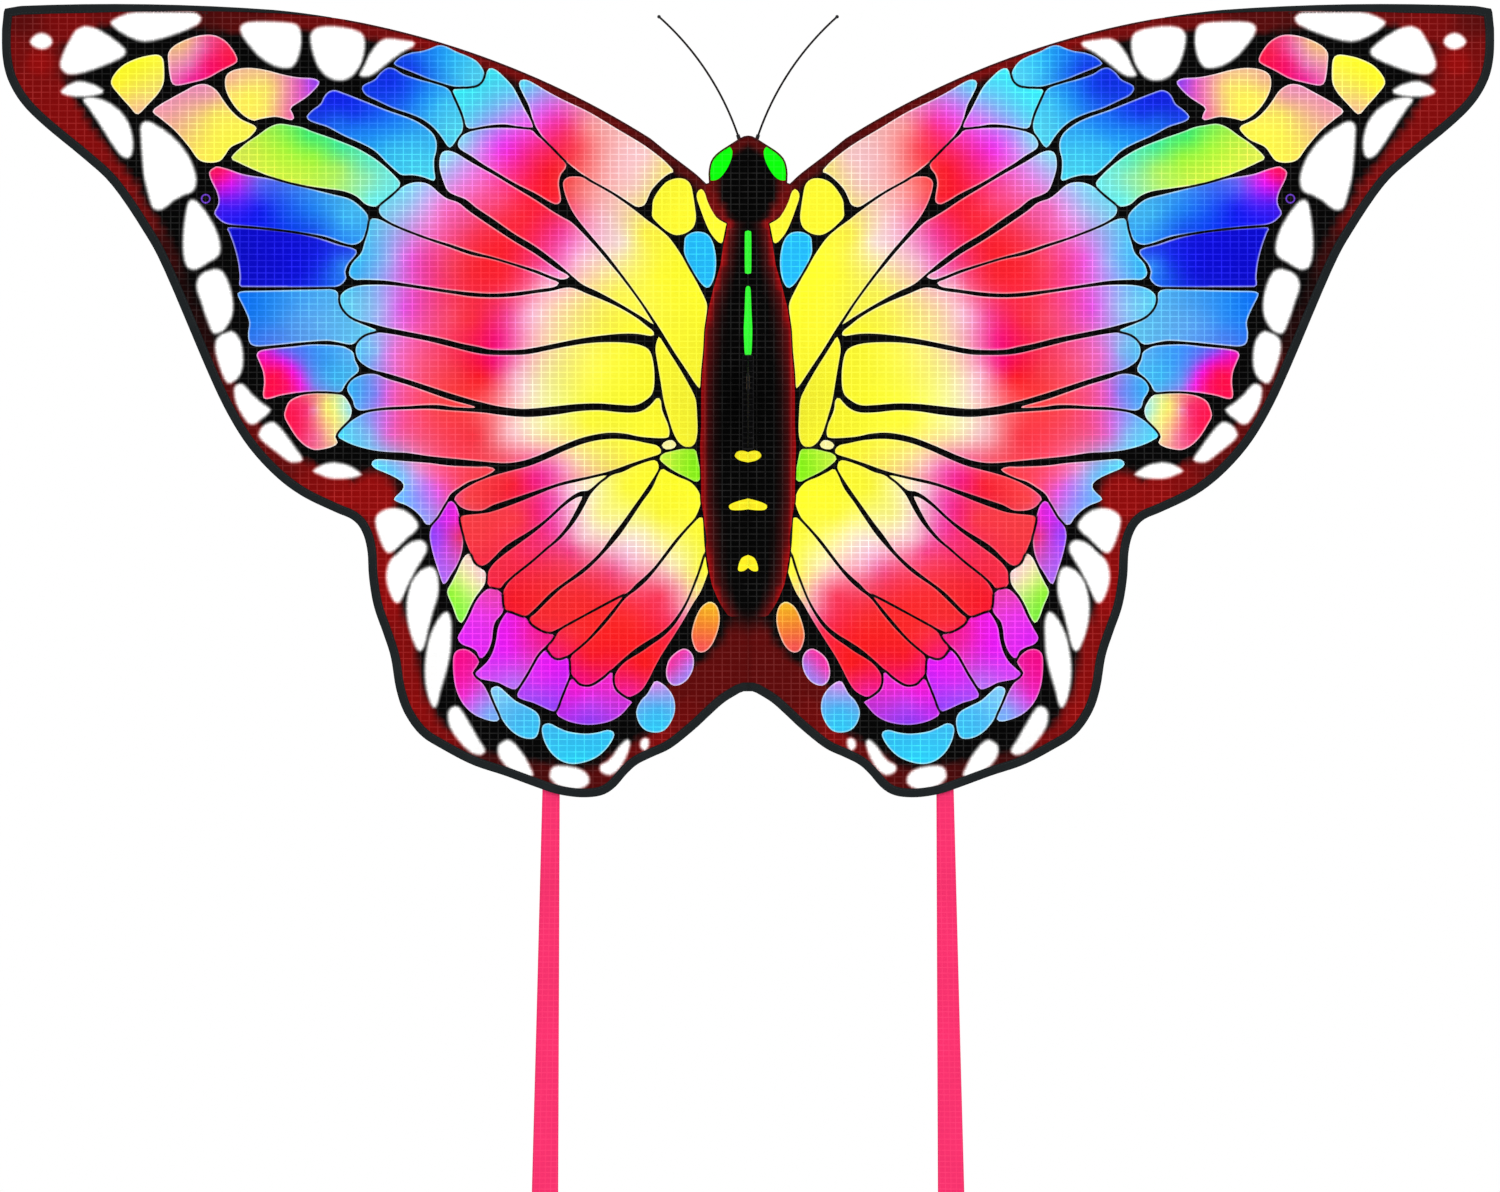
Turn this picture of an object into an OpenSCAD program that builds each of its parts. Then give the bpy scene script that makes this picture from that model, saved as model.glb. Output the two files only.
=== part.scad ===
// Butterfly-shaped delta kite: two sail panels on a folding fibreglass frame, a keel with a tow
// eyelet, two antennae and two ribbon tails.
// The kite stands upright with its nose up (+Z) and its printed face forward (-Y). The frame lies
// on the back of the sail (+Y). The shapes below are laid out on the sail, with x from the centre
// seam and z from the lowest point of the hind wings. place() then moves the tow eyelet's centre
// to the origin.

/* [Sail] */
// Wingspan from tip to tip
wingspan = 1404; // [1200:1:1600]
// Thickness of the sail cloth
cloth_t = 0.6; // [0.4:0.1:0.8]
// Width of the edge binding
binding_w = 8.5; // [6:0.5:10]
// Thickness of the binding, folded round the edge
binding_t = 1.8; // [1.2:0.1:2]
// Half width of the strip of cloth along the centre seam
seam_half = 7; // [6.8:0.1:7.2]

/* [Frame rods] */
// Diameter of the spine and of the upper struts
spine_d = 4; // [3.6:0.1:4]
// Diameter of the leading edge spars and of the lower struts
spar_d = 3; // [2.6:0.1:3]
// Distance of the rods' centre lines behind the middle of the sail
rod_y = 3.6; // [3.5:0.1:4]
// Height of the hub's centre on the spine
hub_z = 262; // [255:1:275]

/* [Folding hub] */
// Distance of the hinge pins from the centre line
pin_x = 10; // [9.6:0.1:11]
// Diameter of the hinge pins
pin_d = 2; // [1.6:0.1:2.2]
// Height of each strut's eye on its pin
eye_h = 8; // [7:0.5:9]
// Thickness of the hub's ears
ear_t = 4; // [3:0.5:5]

/* [Keel] */
// Depth of the keel, from the sail to the centre of the eyelet
keel_depth = 80; // [60:1:90]
// Height of the eyelet's centre
tow_z = 388; // [380:1:395]
// Radius of the eyelet's hole
eyelet_r = 3.5; // [2.5:0.1:4]
// Length of the eyelet's hole
eyelet_len = 3; // [2.5:0.1:3.5]

/* [Antennae] */
// Diameter of an antenna
antenna_d = 2; // [1.6:0.1:2.4]
// Radius of the bend in an antenna
antenna_bend = 263; // [250:1:280]

/* [Tails] */
// Length of a tail ribbon below its stud
tail_len = 800; // [400:10:900]
// Width of a ribbon at its top
tail_top_w = 16; // [14:0.5:18]
// Width of a ribbon at its lower end
tail_end_w = 34; // [20:1:40]

/* [Hidden] */
$fn = 48;

// Everything on the sail scales with the wingspan.
k = wingspan / 1404;

cloth_back = cloth_t / 2;
binding_back = binding_t / 2;
flange_t = 0.6;
spine_r = spine_d / 2;
spar_r = spar_d / 2;
pin_r = pin_d / 2;
gap = 0.3;

// Leading edge: a steeper inner arc and a flatter outer arc, which meet at the strut's connector.
// An edge angle is the slope of the leading edge there, in degrees, rising away from the nose.
joint_point = [445, 740.5] * k;
inner_r = 806 * k;
outer_r = 2080 * k;
inner_start = 32.3;
inner_end = 5.5;
outer_start = 4.2;
outer_end = -2.4;
inner_centre = joint_point - inner_r * up_from_edge(inner_end);
outer_centre = joint_point - outer_r * up_from_edge(outer_start);
// The spars lie this far in from the edge of the sail
spar_inset = 7;

// Angle that a length takes on each arc
inner_turn = 180 / (PI * inner_r);
outer_turn = 180 / (PI * outer_r);

// Head and shoulder, from the centre seam to the leading edge
head_points = [[7.3, 621], [16, 614.5], [28.8, 606], [35, 598], [37.3, 587], [37.5, 576], [48.8, 586],
    [73.8, 605]] * k;
// Outer edge of the fore wing, from the tip to the waist
fore_points = [[701.5, 722], [701, 697], [696, 675], [683, 652.5], [661, 630.5], [624, 600],
    [598, 575.5], [569, 533], [549, 496], [509, 402], [489, 360], [469, 328.5], [444, 301.5],
    [419, 283], [389, 268.5], [372, 261]] * k;
// Edge of the hind wing, from the waist round the lobe to the notch below the body
hind_points = [[363, 250], [358, 232], [356.5, 207], [352, 180], [343, 154], [336, 132], [331, 102],
    [323, 79], [308, 58.5], [287, 45], [259, 30.5], [229, 20.5], [199, 9.5], [179, 3], [158, 0],
    [139, 1.5], [126, 8.5], [114, 22], [104, 31], [90, 38], [72, 46.5], [50, 64], [35, 78], [22, 89.5],
    [7.3, 98.5]] * k;
tip_corner = [699.5, 741.5] * k;

// Steps along each arc and along each stretch of a curve
inner_steps = 14;
outer_steps = 6;
curve_steps = 3;

inner_edge = edge_arc(inner_centre, inner_r, inner_start, inner_end, inner_steps);
outer_edge = edge_arc(outer_centre, outer_r, outer_start, outer_end, outer_steps);
wing_edge = concat([tip_corner], smooth(concat(fore_points, hind_points)));
bound_edge = concat(outer_edge, wing_edge);

// The binding starts narrow at the connector and reaches its full width near the tip.
binding_start_w = 3;
binding_full_x = 620 * k;
bound_inner = inset(bound_edge);

// Struts: both start at an eye on a hinge pin
socket_off = 5.8;
socket_r = 3.1;
eye_r = 2.9;
eye_rise = ear_t / 2 + gap + 0.1 + eye_h / 2;
hub_half_h = ear_t * 1.5 + eye_h + 2 * (gap + 0.1);
connector_at = inner_centre + (inner_r - spar_inset) * up_from_edge(inner_end);
upper_from = [pin_x + socket_off, hub_z + eye_rise];
upper_to = connector_at;
lower_from = [pin_x + socket_off, hub_z - eye_rise];
lower_to = [150, 34] * k;
strut_start = 5;
strut_stop = 7;
// Distances along the leading edge: from the connector to the sleeves, and from the tip corner to
// the outer spar's end and to its sleeve
sleeve_gap = 16;
spar_gap = 16;
tip_gap = 36;

// Antennae: each is an arc that leans outwards. Its angles are measured up from horizontal.
antenna_base = [8.8, 620.5];
antenna_base_angle = 71.6;
antenna_tip_angle = 41.6;
antenna_root_angle = 73.3;
antenna_centre = antenna_base + antenna_bend * [sin(antenna_base_angle), -cos(antenna_base_angle)];
antenna_hinge = antenna_centre + antenna_bend * up_from_edge(antenna_root_angle);
ball_r = 2.2;

// Tail studs
stud_at = [185, 14] * k;
stud_r = 2;

// Keel: a triangle with its long side on the seam
keel_top = 412;
keel_bottom = 328;
keel_t = 0.8;
keel_hinge_y = -1.6;
keel_margin = 13;

function up_from_edge(angle) = [-sin(angle), cos(angle)];
function unit(v) = v / norm(v);
function right_of(v) = [v.y, -v.x];
function edge_arc(centre, r, first, last, steps) =
    [for (i = [0:steps]) centre + r * up_from_edge(first + (last - first) * i / steps)];

// Catmull-Rom curve through a list of points
function blend_four(a, b, c, d, t) =
    0.5 * ((2 * b) + (c - a) * t + (2 * a - 5 * b + 4 * c - d) * t * t
    + (3 * b - a - 3 * c + d) * t * t * t);
function smooth(p) = let (last = len(p) - 1)
    concat([for (i = [0:last - 1], s = [0:curve_steps - 1])
        blend_four(p[max(i - 1, 0)], p[i], p[i + 1], p[min(i + 2, last)], s / curve_steps)],
        [p[last]]);

// Moves each point of the bound edge inwards by the width of the binding there
function width_at(p) = p.x > binding_full_x || p.y < 730 * k ? binding_w
    : binding_start_w + (binding_w - binding_start_w) * (p.x - joint_point.x)
        / (binding_full_x - joint_point.x);
function inward(p, i) = let (
    last = len(p) - 1,
    before = right_of(unit(p[max(i, 1)] - p[max(i, 1) - 1])),
    after = right_of(unit(p[min(i + 1, last)] - p[min(i + 1, last) - 1])),
    middle = unit(before + after)) middle / (middle * after);
function inset(p) = [for (i = [0:len(p) - 1]) p[i] + inward(p, i) * width_at(p[i])];
function reversed(p) = [for (i = [len(p) - 1:-1:0]) p[i]];

// Puts the tow eyelet's centre at the origin
module place() {
    translate([0, keel_depth, -tow_z]) children();
}

module right() {
    place() children();
}

module left() {
    mirror([1, 0, 0]) place() children();
}

// A flat piece parallel to the sail, with its middle at depth y
module flat_piece(points, thickness, y = 0) {
    translate([0, y + thickness / 2, 0]) rotate([90, 0, 0]) linear_extrude(thickness) polygon(points);
}

// Turns and moves its children from the Z axis to the line from a towards b, in the rods' plane
module along(a, b) {
    translate([a.x, rod_y, a.y]) rotate([0, atan2(b.x - a.x, b.y - a.y), 0]) children();
}

module rod(a, b, r) {
    along(a, b) cylinder(h = norm(b - a), r = r);
}

// Sweeps a section round an arc in the rods' plane. In the section, x points outwards and y
// points forward.
module arc_sweep(centre, r, first, last) {
    translate([centre.x, rod_y, centre.y]) rotate([90, 0, 0]) rotate([0, 0, 90 + first])
        rotate_extrude(angle = last - first, $fn = 360) translate([r, 0]) children();
}

// Section of a sleeve: a tube for a rod, with a flange sewn to the back of the sail, or of the
// binding where there is one
module sleeve_section(bore_r, tube_r, flange_half, back = cloth_back) {
    difference() {
        union() {
            circle(r = tube_r);
            translate([-flange_half, rod_y - back - flange_t]) square([2 * flange_half, flange_t]);
            translate([-tube_r * 0.8, 0]) square([tube_r * 1.6, rod_y - back]);
        }
        circle(r = bore_r);
    }
}

// A pocket on the back of the sail, which starts at a and takes a rod's cap along the line to b
module pocket(a, b, bore_r, tube_r, depth, half_w, back = cloth_back) {
    along(a, b) {
        difference() {
            union() {
                cylinder(h = depth + 2, r = tube_r);
                translate([-half_w, -rod_y + back, -2]) cube([2 * half_w, flange_t, depth + 8]);
            }
            translate([0, 0, -1]) cylinder(h = depth + 1, r = bore_r);
        }
    }
}

// Centre ------------------------------------------------------------------------------------

// Strip of cloth along the centre seam, which both sail panels are sewn to
module centre_strip() {
    color("#1a0505") place() translate([-seam_half, -cloth_t / 2, 99 * k])
        cube([2 * seam_half, cloth_t, 522 * k]);
}

module spine_rod() {
    color("#202022") place() rod([0, 118], [0, 603], spine_r);
}

module spine_sleeve(from_z, to_z) {
    place() translate([0, rod_y, from_z]) linear_extrude(to_z - from_z)
        mirror([0, 1]) sleeve_section(spine_r + 0.25, 2.9, seam_half - 0.5);
}

module spine_sleeve_upper() {
    color("#2a2a2c") spine_sleeve(hub_z + 19, 591);
}

module spine_sleeve_lower() {
    color("#2a2a2c") spine_sleeve(131, hub_z - 19);
}

module spine_end_cap() {
    color("#151515") place() difference() {
        rod([0, 116], [0, 127], spine_r + 0.45);
        rod([0, 118], [0, 128], spine_r);
    }
}

// Pocket that holds the spine's lower end
module tail_pocket() {
    color("#26262a") place() pocket([0, 128], [0, 100], spine_r + 0.5, 3.1, 12.5, seam_half - 0.5);
}

// Moulded fitting on the spine's upper end, with a stub for each antenna
module nose_fitting() {
    color("#18181a") place() difference() {
        union() {
            rod([0, 592], [0, 606], 2.7);
            for (side = [-1, 1]) {
                rod([side * 2.3, 600.5], [side * antenna_hinge.x, antenna_hinge.y]
                    - (ball_r + gap) * [side * cos(antenna_root_angle), sin(antenna_root_angle)], 2.1);
            }
        }
        rod([0, 591], [0, 603], spine_r + 0.03);
    }
}

// Strap that holds the nose fitting against the head
module nose_strap() {
    color("#26262a") place() translate([0, rod_y, 593]) linear_extrude(6)
        mirror([0, 1]) sleeve_section(2.75, 3.2, seam_half - 0.5);
}

// Moulded hub on the spine, with three ears on each side for the struts' eyes
module hub() {
    block_half = 5.5;
    color("#1b1b1e") place() difference() {
        union() {
            translate([-block_half, 0.7, hub_z - hub_half_h]) cube([2 * block_half, 6.3, 2 * hub_half_h]);
            for (side = [-1, 1], level = [-1, 0, 1]) {
                translate([0, rod_y, hub_z + level * (hub_half_h - ear_t / 2) - ear_t / 2]) {
                    translate([side * pin_x, 0, 0]) cylinder(h = ear_t, r = eye_r);
                    translate([side > 0 ? block_half - 1 : -pin_x, -eye_r, 0])
                        cube([pin_x - block_half + 1, 2 * eye_r, ear_t]);
                }
            }
        }
        rod([0, hub_z - 30], [0, hub_z + 30], spine_r + 0.03);
        for (side = [-1, 1]) {
            rod([side * pin_x, hub_z - 30], [side * pin_x, hub_z + 30], pin_r);
        }
    }
}

module hinge_pins() {
    head_h = 0.8;
    color("silver") place() for (side = [-1, 1]) {
        rod([side * pin_x, hub_z - hub_half_h], [side * pin_x, hub_z + hub_half_h], pin_r);
        for (end = [-1, 1]) {
            translate([side * pin_x, rod_y, hub_z + end * (hub_half_h + head_h / 2) - head_h / 2])
                cylinder(h = head_h, r = pin_r + 0.7);
        }
    }
}

// Keel --------------------------------------------------------------------------------------

// Draws a shape in the plane of the keel: its x is the depth forward of the sail, its y the height
module keel_plane(thickness) {
    place() translate([thickness / 2, 0, 0]) rotate([90, 0, -90]) linear_extrude(thickness) children();
}

// Outline of the keel, drawn in by a margin from its two free edges
module keel_outline(margin) {
    nose = keel_depth + keel_margin;
    difference() {
        polygon([[-keel_hinge_y, keel_bottom + margin * 1.2], [-keel_hinge_y, keel_top - margin * 1.6],
            [nose - 8 - margin, tow_z + 8 - margin * 0.6], [nose - margin, tow_z - margin * 0.3],
            [nose - 6 - margin, tow_z - 9 + margin * 0.5]]);
        translate([keel_depth, tow_z]) circle(r = eyelet_r + 1);
    }
}

module keel() {
    color("#151518") keel_plane(keel_t) keel_outline(6);
}

module keel_binding() {
    color("#26262a") keel_plane(1.5) difference() {
        keel_outline(0);
        keel_outline(6);
        translate([-1, keel_bottom]) square([-keel_hinge_y + 1, keel_top - keel_bottom]);
        translate([keel_depth, tow_z]) circle(r = 9);
    }
}

// Round reinforcement on each face of the keel
module tow_patches() {
    color("#2c2c30") for (side = [-1, 1]) {
        translate([side * (keel_t / 2 + 0.2), 0, 0]) keel_plane(0.4) translate([keel_depth, tow_z])
            difference() {
                circle(r = 8.8);
                circle(r = eyelet_r + 1);
            }
    }
}

module tow_eyelet() {
    flange_r = eyelet_r + 3.3;
    flange_h = 0.7;
    color("#c8a030") rotate([0, 90, 0]) difference() {
        union() {
            translate([0, 0, -eyelet_len / 2]) cylinder(h = eyelet_len, r = eyelet_r + 1);
            for (side = [-1, 1]) {
                translate([0, 0, side * (eyelet_len - flange_h) / 2 - flange_h / 2])
                    cylinder(h = flange_h, r = flange_r);
            }
        }
        translate([0, 0, -eyelet_len]) cylinder(h = 2 * eyelet_len, r = eyelet_r);
    }
}

// Wings, drawn on the right ------------------------------------------------------------------

module wing_sail() {
    color("#d02050") flat_piece(concat(smooth(head_points), inner_edge, bound_inner), cloth_t);
}

module wing_binding() {
    color("#222628") flat_piece(concat(bound_edge, reversed(bound_inner)), binding_t);
}

module spar_sleeve_inner() {
    color("#7a0000") arc_sweep(inner_centre, inner_r - spar_inset, inner_end + sleeve_gap * inner_turn,
        inner_start - 1) sleeve_section(spar_r + 0.25, 2.7, 6);
}

module spar_sleeve_outer() {
    color("#7a0000") arc_sweep(outer_centre, outer_r - spar_inset, outer_end + tip_gap * outer_turn,
        outer_start - sleeve_gap * outer_turn) sleeve_section(spar_r + 0.25, 2.65, 6, binding_back);
}

module spar_inner() {
    color("#202022") arc_sweep(inner_centre, inner_r - spar_inset, inner_end + 2 * inner_turn,
        inner_start - 0.4) circle(r = spar_r);
}

module spar_outer() {
    color("#202022") arc_sweep(outer_centre, outer_r - spar_inset, outer_end + spar_gap * outer_turn,
        outer_start - 2 * outer_turn) circle(r = spar_r);
}

// Point on the line of the spars, at an edge angle on the inner or outer arc
function inner_spar_point(angle) = inner_centre + (inner_r - spar_inset) * up_from_edge(angle);
function outer_spar_point(angle) = outer_centre + (outer_r - spar_inset) * up_from_edge(angle);
function towards_tip(angle) = [cos(angle), sin(angle)];

// Cap over a spar's end at p, where the spar arrives along the direction d
module spar_cap(p, d) {
    difference() {
        rod(p - 8 * d, p + 1.5 * d, spar_r + 0.6);
        rod(p - 9 * d, p, spar_r + 0.05);
    }
}

module spar_caps() {
    color("#151515") {
        spar_cap(inner_spar_point(inner_start - 0.4), -towards_tip(inner_start - 0.4));
        spar_cap(outer_spar_point(outer_end + spar_gap * outer_turn), towards_tip(outer_end + spar_gap * outer_turn));
    }
}

// Pocket at the wing tip for the outer spar's capped end
module tip_pocket() {
    angle = outer_end + spar_gap * outer_turn;
    start = outer_spar_point(angle) - 10 * towards_tip(angle);
    color("#26262a") pocket(start, start + towards_tip(angle), spar_r + 0.7, 2.65, 12, 6,
        binding_back);
}

// Moulded connector: the two spars plug in end to end, and the upper strut from below
module connector() {
    along_edge = towards_tip((inner_end + outer_start) / 2);
    strut = unit(upper_from - upper_to);
    color("#18181a") difference() {
        union() {
            rod(connector_at - 14 * along_edge, connector_at + 14 * along_edge, socket_r);
            rod(connector_at + 1 * strut, connector_at + 26 * strut, socket_r - 0.2);
        }
        for (end = [-1, 1]) {
            rod(connector_at + end * along_edge, connector_at + 15 * end * along_edge, spar_r + 0.15);
        }
        rod(connector_at + (strut_stop - 0.5) * strut, connector_at + 27 * strut, spine_r + 0.05);
    }
}

module upper_strut() {
    d = unit(upper_to - upper_from);
    color("#202022") rod(upper_from + strut_start * d, upper_to - strut_stop * d, spine_r);
}

// Moulded eye on a hinge pin, with a socket for a strut
module strut_eye(from, to, strut_r) {
    d = unit(to - from);
    color("#18181a") difference() {
        union() {
            rod([pin_x, from.y - eye_h / 2], [pin_x, from.y + eye_h / 2], eye_r);
            rod([pin_x, from.y], from, 2.4);
            translate([from.x, rod_y, from.y]) sphere(r = socket_r + 0.2);
            rod(from, from + 18 * d, socket_r);
        }
        rod([pin_x, from.y - eye_h], [pin_x, from.y + eye_h], pin_r + 0.06);
        rod(from + (strut_start - 0.5) * d, from + 19 * d, strut_r + 0.05);
    }
}

module upper_eye() {
    strut_eye(upper_from, upper_to, spine_r);
}

module lower_eye() {
    strut_eye(lower_from, lower_to, spar_r);
}

// Two loops that keep the upper strut near the sail
module strut_keepers() {
    keeper_len = 12;
    length = norm(upper_to - upper_from);
    d = unit(upper_to - upper_from);
    color("#26262a") for (part = [0.36, 0.68]) {
        along(upper_from + part * length * d, upper_to) linear_extrude(keeper_len)
            mirror([0, 1]) sleeve_section(spine_r + 0.15, 2.9, 9);
    }
}

module lower_strut() {
    d = unit(lower_to - lower_from);
    color("#202022") rod(lower_from + strut_start * d, lower_to, spar_r);
}

module lower_cap() {
    color("#151515") spar_cap(lower_to, unit(lower_to - lower_from));
}

module lobe_pocket() {
    d = unit(lower_to - lower_from);
    color("#26262a") pocket(lower_to - 10 * d, lower_to, spar_r + 0.7, 3.1, 12, 9);
}

// Tails -------------------------------------------------------------------------------------

// Patch on the back of the hind wing that the tail's stud is set in
module tail_patch() {
    half = 9;
    color("#26262a") difference() {
        translate([stud_at.x - half, binding_back, stud_at.y - 5]) cube([2 * half, flange_t, 2 * half]);
        translate([stud_at.x, 0, stud_at.y]) rotate([-90, 0, 0]) cylinder(h = 3, r = stud_r);
    }
}

module tail_stud() {
    color("#151515") translate([stud_at.x, binding_back, stud_at.y]) rotate([-90, 0, 0]) {
        cylinder(h = 2.6, r = stud_r);
        translate([0, 0, 2]) cylinder(h = 1, r = 3.6);
    }
}

module tail_ribbon() {
    ribbon_t = 0.6;
    top = stud_at.y + 8;
    bottom = stud_at.y - tail_len;
    lean = 12;
    color("#ff3070") difference() {
        flat_piece([[stud_at.x - tail_top_w / 2, top], [stud_at.x + tail_top_w / 2, top],
            [stud_at.x + lean + tail_end_w / 2, bottom], [stud_at.x + lean - tail_end_w / 2, bottom]],
            ribbon_t, 2.2);
        translate([stud_at.x, 0, stud_at.y]) rotate([-90, 0, 0]) cylinder(h = 5, r = stud_r + 0.06);
    }
}

// Antennae ----------------------------------------------------------------------------------

module antenna_arc(first, last) {
    arc_sweep(antenna_centre, antenna_bend, last, first) children();
}

module antenna() {
    color("#151515") antenna_arc(antenna_root_angle - 0.5, antenna_tip_angle) circle(d = antenna_d);
}

// Soft root that an antenna rocks on
module antenna_root() {
    color("#262628") difference() {
        union() {
            translate([antenna_hinge.x, rod_y, antenna_hinge.y]) sphere(r = ball_r);
            antenna_arc(antenna_root_angle, antenna_base_angle - 0.6) circle(r = 1.8);
        }
        antenna_arc(antenna_root_angle - 0.5, antenna_base_angle - 2) circle(d = antenna_d);
    }
}

module antenna_tip() {
    at = antenna_centre + antenna_bend * up_from_edge(antenna_tip_angle);
    color("#151515") difference() {
        translate([at.x, rod_y, at.y]) sphere(r = 1.7);
        antenna_arc(antenna_tip_angle + 3, antenna_tip_angle) circle(d = antenna_d);
    }
}

centre_strip();
spine_rod();
spine_sleeve_upper();
spine_sleeve_lower();
spine_end_cap();
nose_fitting();
nose_strap();
tail_pocket();
hub();
hinge_pins();
keel();
keel_binding();
tow_patches();
tow_eyelet();
left() wing_sail();  // left_sail
left() wing_binding();  // left_binding
left() spar_sleeve_inner();  // left_spar_sleeve_inner
left() spar_sleeve_outer();  // left_spar_sleeve_outer
left() spar_inner();  // left_spar_inner
left() spar_outer();  // left_spar_outer
left() spar_caps();  // left_spar_caps
left() tip_pocket();  // left_tip_pocket
left() connector();  // left_connector
left() upper_strut();  // left_upper_strut
left() upper_eye();  // left_upper_eye
left() strut_keepers();  // left_strut_keepers
left() lower_strut();  // left_lower_strut
left() lower_eye();  // left_lower_eye
left() lower_cap();  // left_lower_cap
left() lobe_pocket();  // left_lobe_pocket
left() tail_patch();  // left_tail_patch
left() tail_stud();  // left_tail_stud
left() tail_ribbon();  // left_tail_ribbon
left() antenna();  // left_antenna
left() antenna_root();  // left_antenna_root
left() antenna_tip();  // left_antenna_tip
right() wing_sail();  // right_sail
right() wing_binding();  // right_binding
right() spar_sleeve_inner();  // right_spar_sleeve_inner
right() spar_sleeve_outer();  // right_spar_sleeve_outer
right() spar_inner();  // right_spar_inner
right() spar_outer();  // right_spar_outer
right() spar_caps();  // right_spar_caps
right() tip_pocket();  // right_tip_pocket
right() connector();  // right_connector
right() upper_strut();  // right_upper_strut
right() upper_eye();  // right_upper_eye
right() strut_keepers();  // right_strut_keepers
right() lower_strut();  // right_lower_strut
right() lower_eye();  // right_lower_eye
right() lower_cap();  // right_lower_cap
right() lobe_pocket();  // right_lobe_pocket
right() tail_patch();  // right_tail_patch
right() tail_stud();  // right_tail_stud
right() tail_ribbon();  // right_tail_ribbon
right() antenna();  // right_antenna
right() antenna_root();  // right_antenna_root
right() antenna_tip();  // right_antenna_tip
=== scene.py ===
import math

import bmesh
import bpy
import numpy as np
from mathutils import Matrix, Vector
from mathutils.geometry import delaunay_2d_cdt


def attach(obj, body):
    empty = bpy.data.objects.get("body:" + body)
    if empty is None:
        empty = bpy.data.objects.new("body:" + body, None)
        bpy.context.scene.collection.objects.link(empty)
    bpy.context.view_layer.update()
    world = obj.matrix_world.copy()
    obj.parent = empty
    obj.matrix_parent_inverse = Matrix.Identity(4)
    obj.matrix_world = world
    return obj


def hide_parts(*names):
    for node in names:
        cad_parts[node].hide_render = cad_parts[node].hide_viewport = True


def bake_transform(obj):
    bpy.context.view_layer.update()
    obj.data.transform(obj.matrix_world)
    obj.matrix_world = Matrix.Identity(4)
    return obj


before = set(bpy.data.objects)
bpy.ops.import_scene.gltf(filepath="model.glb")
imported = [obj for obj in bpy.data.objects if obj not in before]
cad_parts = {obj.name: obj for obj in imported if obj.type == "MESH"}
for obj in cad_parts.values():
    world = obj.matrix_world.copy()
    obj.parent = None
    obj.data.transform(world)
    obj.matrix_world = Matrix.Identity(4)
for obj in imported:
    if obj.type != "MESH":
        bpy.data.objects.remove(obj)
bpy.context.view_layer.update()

# The layout frame of part.scad is in millimetres, x from the centre seam and z from the lowest
# point of the hind wings. Y0 and Z0 take it to the row frame.
Y0, Z0 = 0.080, -0.388
ROD_Y = 3.6
CLOTH_BACK, BINDING_BACK = 0.3, 0.9


def row(x, y, z):
    """A place of the layout frame in the row frame, in metres."""
    return (x / 1000, Y0 + y / 1000, Z0 + z / 1000)


# Curves --------------------------------------------------------------------------------------


def catmull(points, steps, closed=False):
    """Smooth line through the points."""
    n = len(points)
    out = []
    for i in range(n if closed else n - 1):
        if closed:
            a, b, c, d = (points[(i + k) % n] for k in (-1, 0, 1, 2))
        else:
            a, b, c, d = (points[min(max(i + k, 0), n - 1)] for k in (-1, 0, 1, 2))
        for s in range(steps):
            t = s / steps
            out.append(tuple(
                0.5 * (2 * b[k] + (c[k] - a[k]) * t + (2 * a[k] - 5 * b[k] + 4 * c[k] - d[k]) * t * t
                       + (3 * b[k] - a[k] - 3 * c[k] + d[k]) * t ** 3) for k in (0, 1)))
    return out if closed else out + [tuple(points[-1])]


def resample(points, step, closed=False):
    """The same line with points about a step apart."""
    p = np.array(list(points) + ([points[0]] if closed else []), float)
    along = np.concatenate([[0], np.cumsum(np.hypot(*np.diff(p, axis=0).T))])
    count = max(int(round(along[-1] / step)), 3)
    at = np.linspace(0, along[-1], count + 1)
    if closed:
        at = at[:-1]
    return np.stack([np.interp(at, along, p[:, 0]), np.interp(at, along, p[:, 1])], 1)


def normals(p, closed=False):
    """Unit normals of a line, to the right of its direction."""
    if closed:
        d = np.roll(p, -1, 0) - np.roll(p, 1, 0)
    else:
        d = np.gradient(p, axis=0)
    d = d / np.maximum(np.linalg.norm(d, axis=1, keepdims=True), 1e-9)
    return np.stack([d[:, 1], -d[:, 0]], 1)


def inside(points, loop):
    """Which points lie in a closed loop."""
    x, z = points[:, 0], points[:, 1]
    hit = np.zeros(len(points), bool)
    near = (x >= loop[:, 0].min()) & (x <= loop[:, 0].max()) \
        & (z >= loop[:, 1].min()) & (z <= loop[:, 1].max())
    xs, zs = x[near], z[near]
    odd = np.zeros(len(xs), bool)
    for (x1, z1), (x2, z2) in zip(loop, np.roll(loop, -1, 0)):
        if z1 != z2:
            odd ^= ((z1 > zs) != (z2 > zs)) & (xs < (x2 - x1) * (zs - z1) / (z2 - z1) + x1)
    hit[near] = odd
    return hit


def distance(points, line, closed=True):
    """Distance of each point from a line."""
    a = line if closed else line[:-1]
    b = np.roll(line, -1, 0) if closed else line[1:]
    best = np.full(len(points), 1e9)
    for p, q in zip(a, b):
        d = q - p
        t = np.clip(((points - p) @ d) / max(d @ d, 1e-12), 0, 1)
        best = np.minimum(best, np.hypot(*(points - p - t[:, None] * d).T))
    return best


def smoothstep(low, high, v):
    """0 up to low and 1 from high on, eased between. With low above high it falls."""
    t = np.clip((v - low) / (high - low), 0, 1)
    return t * t * (3 - 2 * t)


def up_from_edge(angle):
    """Direction away from an arc's centre, at an angle from +Z towards the seam."""
    return np.array([-math.sin(math.radians(angle)), math.cos(math.radians(angle))])


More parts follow.
